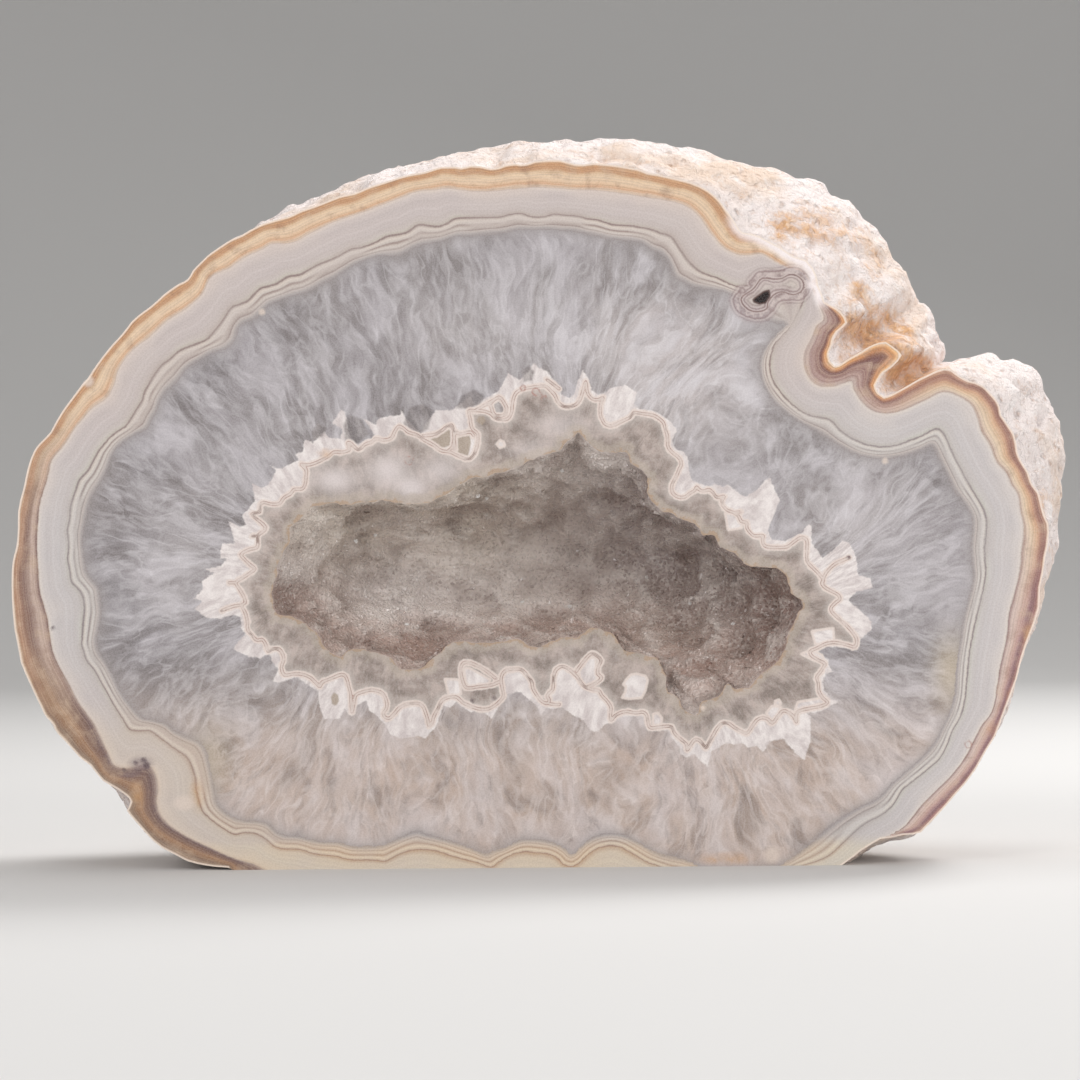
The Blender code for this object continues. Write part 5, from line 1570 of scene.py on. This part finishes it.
def wall_colour(m, coords):
    warp = m.times(m.noise(coords, 140.0, 2.0, 0.5, colour=True), 0.007)
    lump = m.cells(m.plus(coords, warp), 150.0, "F1", "Distance")
    brown, beige, cold = m.split(m.attr("hollow", True))
    big = m.noise(coords, 55.0, 3.0, 0.5, 0.2)
    mid_ = m.noise(coords, 190.0, 4.0, 0.6)
    colour = m.mix(m.span(big, 0.35, 0.65, 0, 1, True), (211, 199, 192), (232, 222, 216))
    colour = m.mix(m.math("MULTIPLY", beige, 0.6), colour, (220, 208, 192))
    colour = m.mix(m.math("MULTIPLY", cold, 0.55), colour, (190, 181, 181))
    brown = m.math("MULTIPLY", brown, m.span(big, 0.25, 0.6, 0.6, 1.0))
    colour = m.mix(m.math("MULTIPLY", brown, 0.80), colour, (174, 137, 122))
    colour = m.mix(m.span(mid_, 0.5, 0.72, 0, 0.24), colour, (228, 218, 210))
    colour = m.mix(m.span(mid_, 0.45, 0.28, 0, 0.16), colour, (168, 146, 136))
    # painted shade towards the ends of the hollow
    colour = m.mix(m.math("MULTIPLY", m.attr("painted_shade"), 0.78), colour, (116, 94, 88))
    # painted shade at the edges of the lump cells and painted highlight at their middles
    colour = m.mix(m.span(lump, 0.30, 0.85, 0, 0.42, True), colour, (138, 119, 111))
    colour = m.mix(m.span(lump, 0.32, 0.05, 0, 0.22, True), colour, (236, 228, 223))
    relief = m.attr("relief")
    # painted shade in the low places of the relief and painted highlight on its high places
    colour = m.mix(m.span(relief, 0.40, -0.55, 0, 0.42, True), colour, (140, 120, 111))
    colour = m.mix(m.span(relief, 0.30, 0.95, 0, 0.40, True), colour, (242, 234, 228))
    return colour, mid_


def crystal_wall(name):
    m = Net(name)
    coords = m.tree.nodes.new("ShaderNodeTexCoord").outputs["Object"]
    colour, mid_ = wall_colour(m, coords)
    facet = m.cells(coords, 1500.0, "F1", "Color")
    colour = m.mix(m.span(m.split(facet)[0], 0.5, 1.0, 0, 0.35), colour, (226, 216, 208))
    m.link(colour, m.shader.inputs["Base Color"])
    m.link(m.span(m.split(facet)[1], 0, 1, 0.25, 0.6), m.shader.inputs["Roughness"])
    m.link(m.bump(m.cells(coords, 1500.0), 0.7, 0.0004), m.shader.inputs["Normal"])
    return m.material


def quartz_points(name):
    m = Net(name)
    coords = m.tree.nodes.new("ShaderNodeTexCoord").outputs["Object"]
    colour, mid_ = wall_colour(m, coords)
    t = m.attr("tint")
    colour = m.mix(m.span(t, 0.7, 1.0, 0, 0.20), colour, (240, 234, 228))
    colour = m.mix(m.span(t, 0.3, 0.0, 0, 0.12), colour, (164, 148, 140))
    # painted glint: near-white base colour on the crystals turned toward the light
    colour = m.mix(m.span(t, 1.4, 1.6), colour, (252, 250, 248))
    m.link(colour, m.shader.inputs["Base Color"])
    m.link(m.span(m.noise(coords, 2500.0, 2.0), 0.35, 0.65, 0.10, 0.32), m.shader.inputs["Roughness"])
    m.link(m.bump(m.noise(coords, 3500.0, 2.0), 0.15, 0.00005), m.shader.inputs["Normal"])
    m.shader.inputs["IOR"].default_value = 1.544
    m.shader.inputs["Transmission Weight"].default_value = 0.1
    return m.material


agate = polished_agate("polished agate")
for made in (agate, rough_rind("rough rind"), crystal_wall("crystal wall"), agate,
             polished_agate("polished bands", True, False, False),
             polished_agate("polished quartz", False, True, False),
             polished_agate("polished quartz border", False, True, True),
             polished_agate("polished lip", False, False, True)):
    mesh.materials.append(made)


def values_of(name):
    out = np.zeros(count, np.float32)
    mesh.attributes[name].data.foreach_get("value", out)
    return out


zig_v, side_v = values_of("zig"), values_of("side")
marks_v = np.maximum.reduce([values_of(n) for n in ("teeth", "dark", "tawny", "cell")])
far_in = values_of("band") > 3.09
plain_bands = values_of("band") < 2.90
plain_quartz = far_in & (zig_v < -12) & (side_v > 12) & (marks_v < -10)
plain_lip = far_in & (zig_v > 4)
loop_start = np.zeros(len(mesh.polygons), np.int32)
mesh.polygons.foreach_get("loop_start", loop_start)
loop_vert = np.zeros(len(mesh.loops), np.int32)
mesh.loops.foreach_get("vertex_index", loop_vert)
kind_of = np.zeros(len(mesh.polygons), np.int32)
mesh.polygons.foreach_get("material_index", kind_of)
for flags, slot in ((far_in, 6), (plain_bands, 4), (plain_quartz, 5), (plain_lip, 7)):
    whole = np.logical_and.reduceat(flags[loop_vert], loop_start)
    kind_of = np.where(whole & ((kind_of == 0) | (kind_of == 6)), slot, kind_of)
mesh.polygons.foreach_set("material_index", kind_of)
print("faces by material", np.bincount(kind_of))
druse_mesh.materials.append(quartz_points("quartz points"))
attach(stone, "root")
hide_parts("geode")
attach(druse, "root")

# ---------------------------------------------------------------- surroundings
floor_mesh = bpy.data.meshes.new("floor")
pts, faces = [], []
profile = [(-3.2, 0.0), (1.1, 0.0)]
for k in range(1, 17):
    a = k / 16 * math.pi / 2
    profile.append((1.1 + 0.9 * math.sin(a), 0.9 - 0.9 * math.cos(a)))
profile.append((2.0, 3.2))
for y, z in profile:
    pts += [(-4.0, y, z), (4.0, y, z)]
faces = [(2 * i, 2 * i + 1, 2 * i + 3, 2 * i + 2) for i in range(len(profile) - 1)]
floor_mesh.from_pydata(pts, [], faces)
for poly in floor_mesh.polygons:
    poly.use_smooth = True
floor = bpy.data.objects.new("floor", floor_mesh)
bpy.context.scene.collection.objects.link(floor)
fl = Net("pale paper")
coords = fl.tree.nodes.new("ShaderNodeTexCoord").outputs["Object"]
fl.link(fl.mix(fl.noise(coords, 3.0, 2.0), (214, 212, 210), (218, 216, 214)),
        fl.shader.inputs["Base Color"])
fl.shader.inputs["Roughness"].default_value = 0.85
floor_mesh.materials.append(fl.material)


def area_light(name, place_, aim, size, power, colour=(1, 1, 1), size_y=None):
    data = bpy.data.lights.new(name, "AREA")
    data.shape = "RECTANGLE"
    data.size, data.size_y = size, size_y or size
    data.energy = power
    data.color = colour
    lamp = bpy.data.objects.new(name, data)
    lamp.location = place_
    way = Vector(aim) - Vector(place_)
    lamp.rotation_euler = way.to_track_quat("-Z", "Y").to_euler()
    bpy.context.scene.collection.objects.link(lamp)
    return lamp


area_light("front left", (-0.75, -1.35, 0.75), (0, 0, 0.07), 0.9, 11.5)
area_light("front right", (0.85, -1.25, 0.55), (0, 0, 0.07), 0.8, 8)
area_light("rim right", (0.55, 0.55, 0.85), (0.05, 0, 0.09), 0.45, 9)
area_light("top", (-0.1, 0.15, 1.2), (0, 0, 0.05), 0.8, 4.5)

world = bpy.data.worlds.new("studio")
world.use_nodes = True
world.node_tree.nodes["Background"].inputs["Color"].default_value = (1, 1, 1, 1)
world.node_tree.nodes["Background"].inputs["Strength"].default_value = 0.24
bpy.context.scene.world = world

cam_data = bpy.data.cameras.new("camera")
cam_data.sensor_width = 36.0
cam_data.lens = 150.0
cam_data.clip_start = 0.01
camera = bpy.data.objects.new("camera", cam_data)
bpy.context.scene.collection.objects.link(camera)
c, s = math.cos(LEAN), math.sin(LEAN)
right, up, back = Vector((c, 0, -s)), Vector((s, 0, c)), Vector((0, -1, 0))
camera.matrix_world = (
    Matrix((
        (right.x, up.x, back.x, 0.000343),
        (right.y, up.y, back.y, FACE_Y - EYE_FAR),
        (right.z, up.z, back.z, 0.065514),
        (0, 0, 0, 1))))
bpy.context.scene.camera = camera
bpy.context.scene.view_settings.view_transform = "Standard"
bpy.context.scene.view_settings.look = "None"
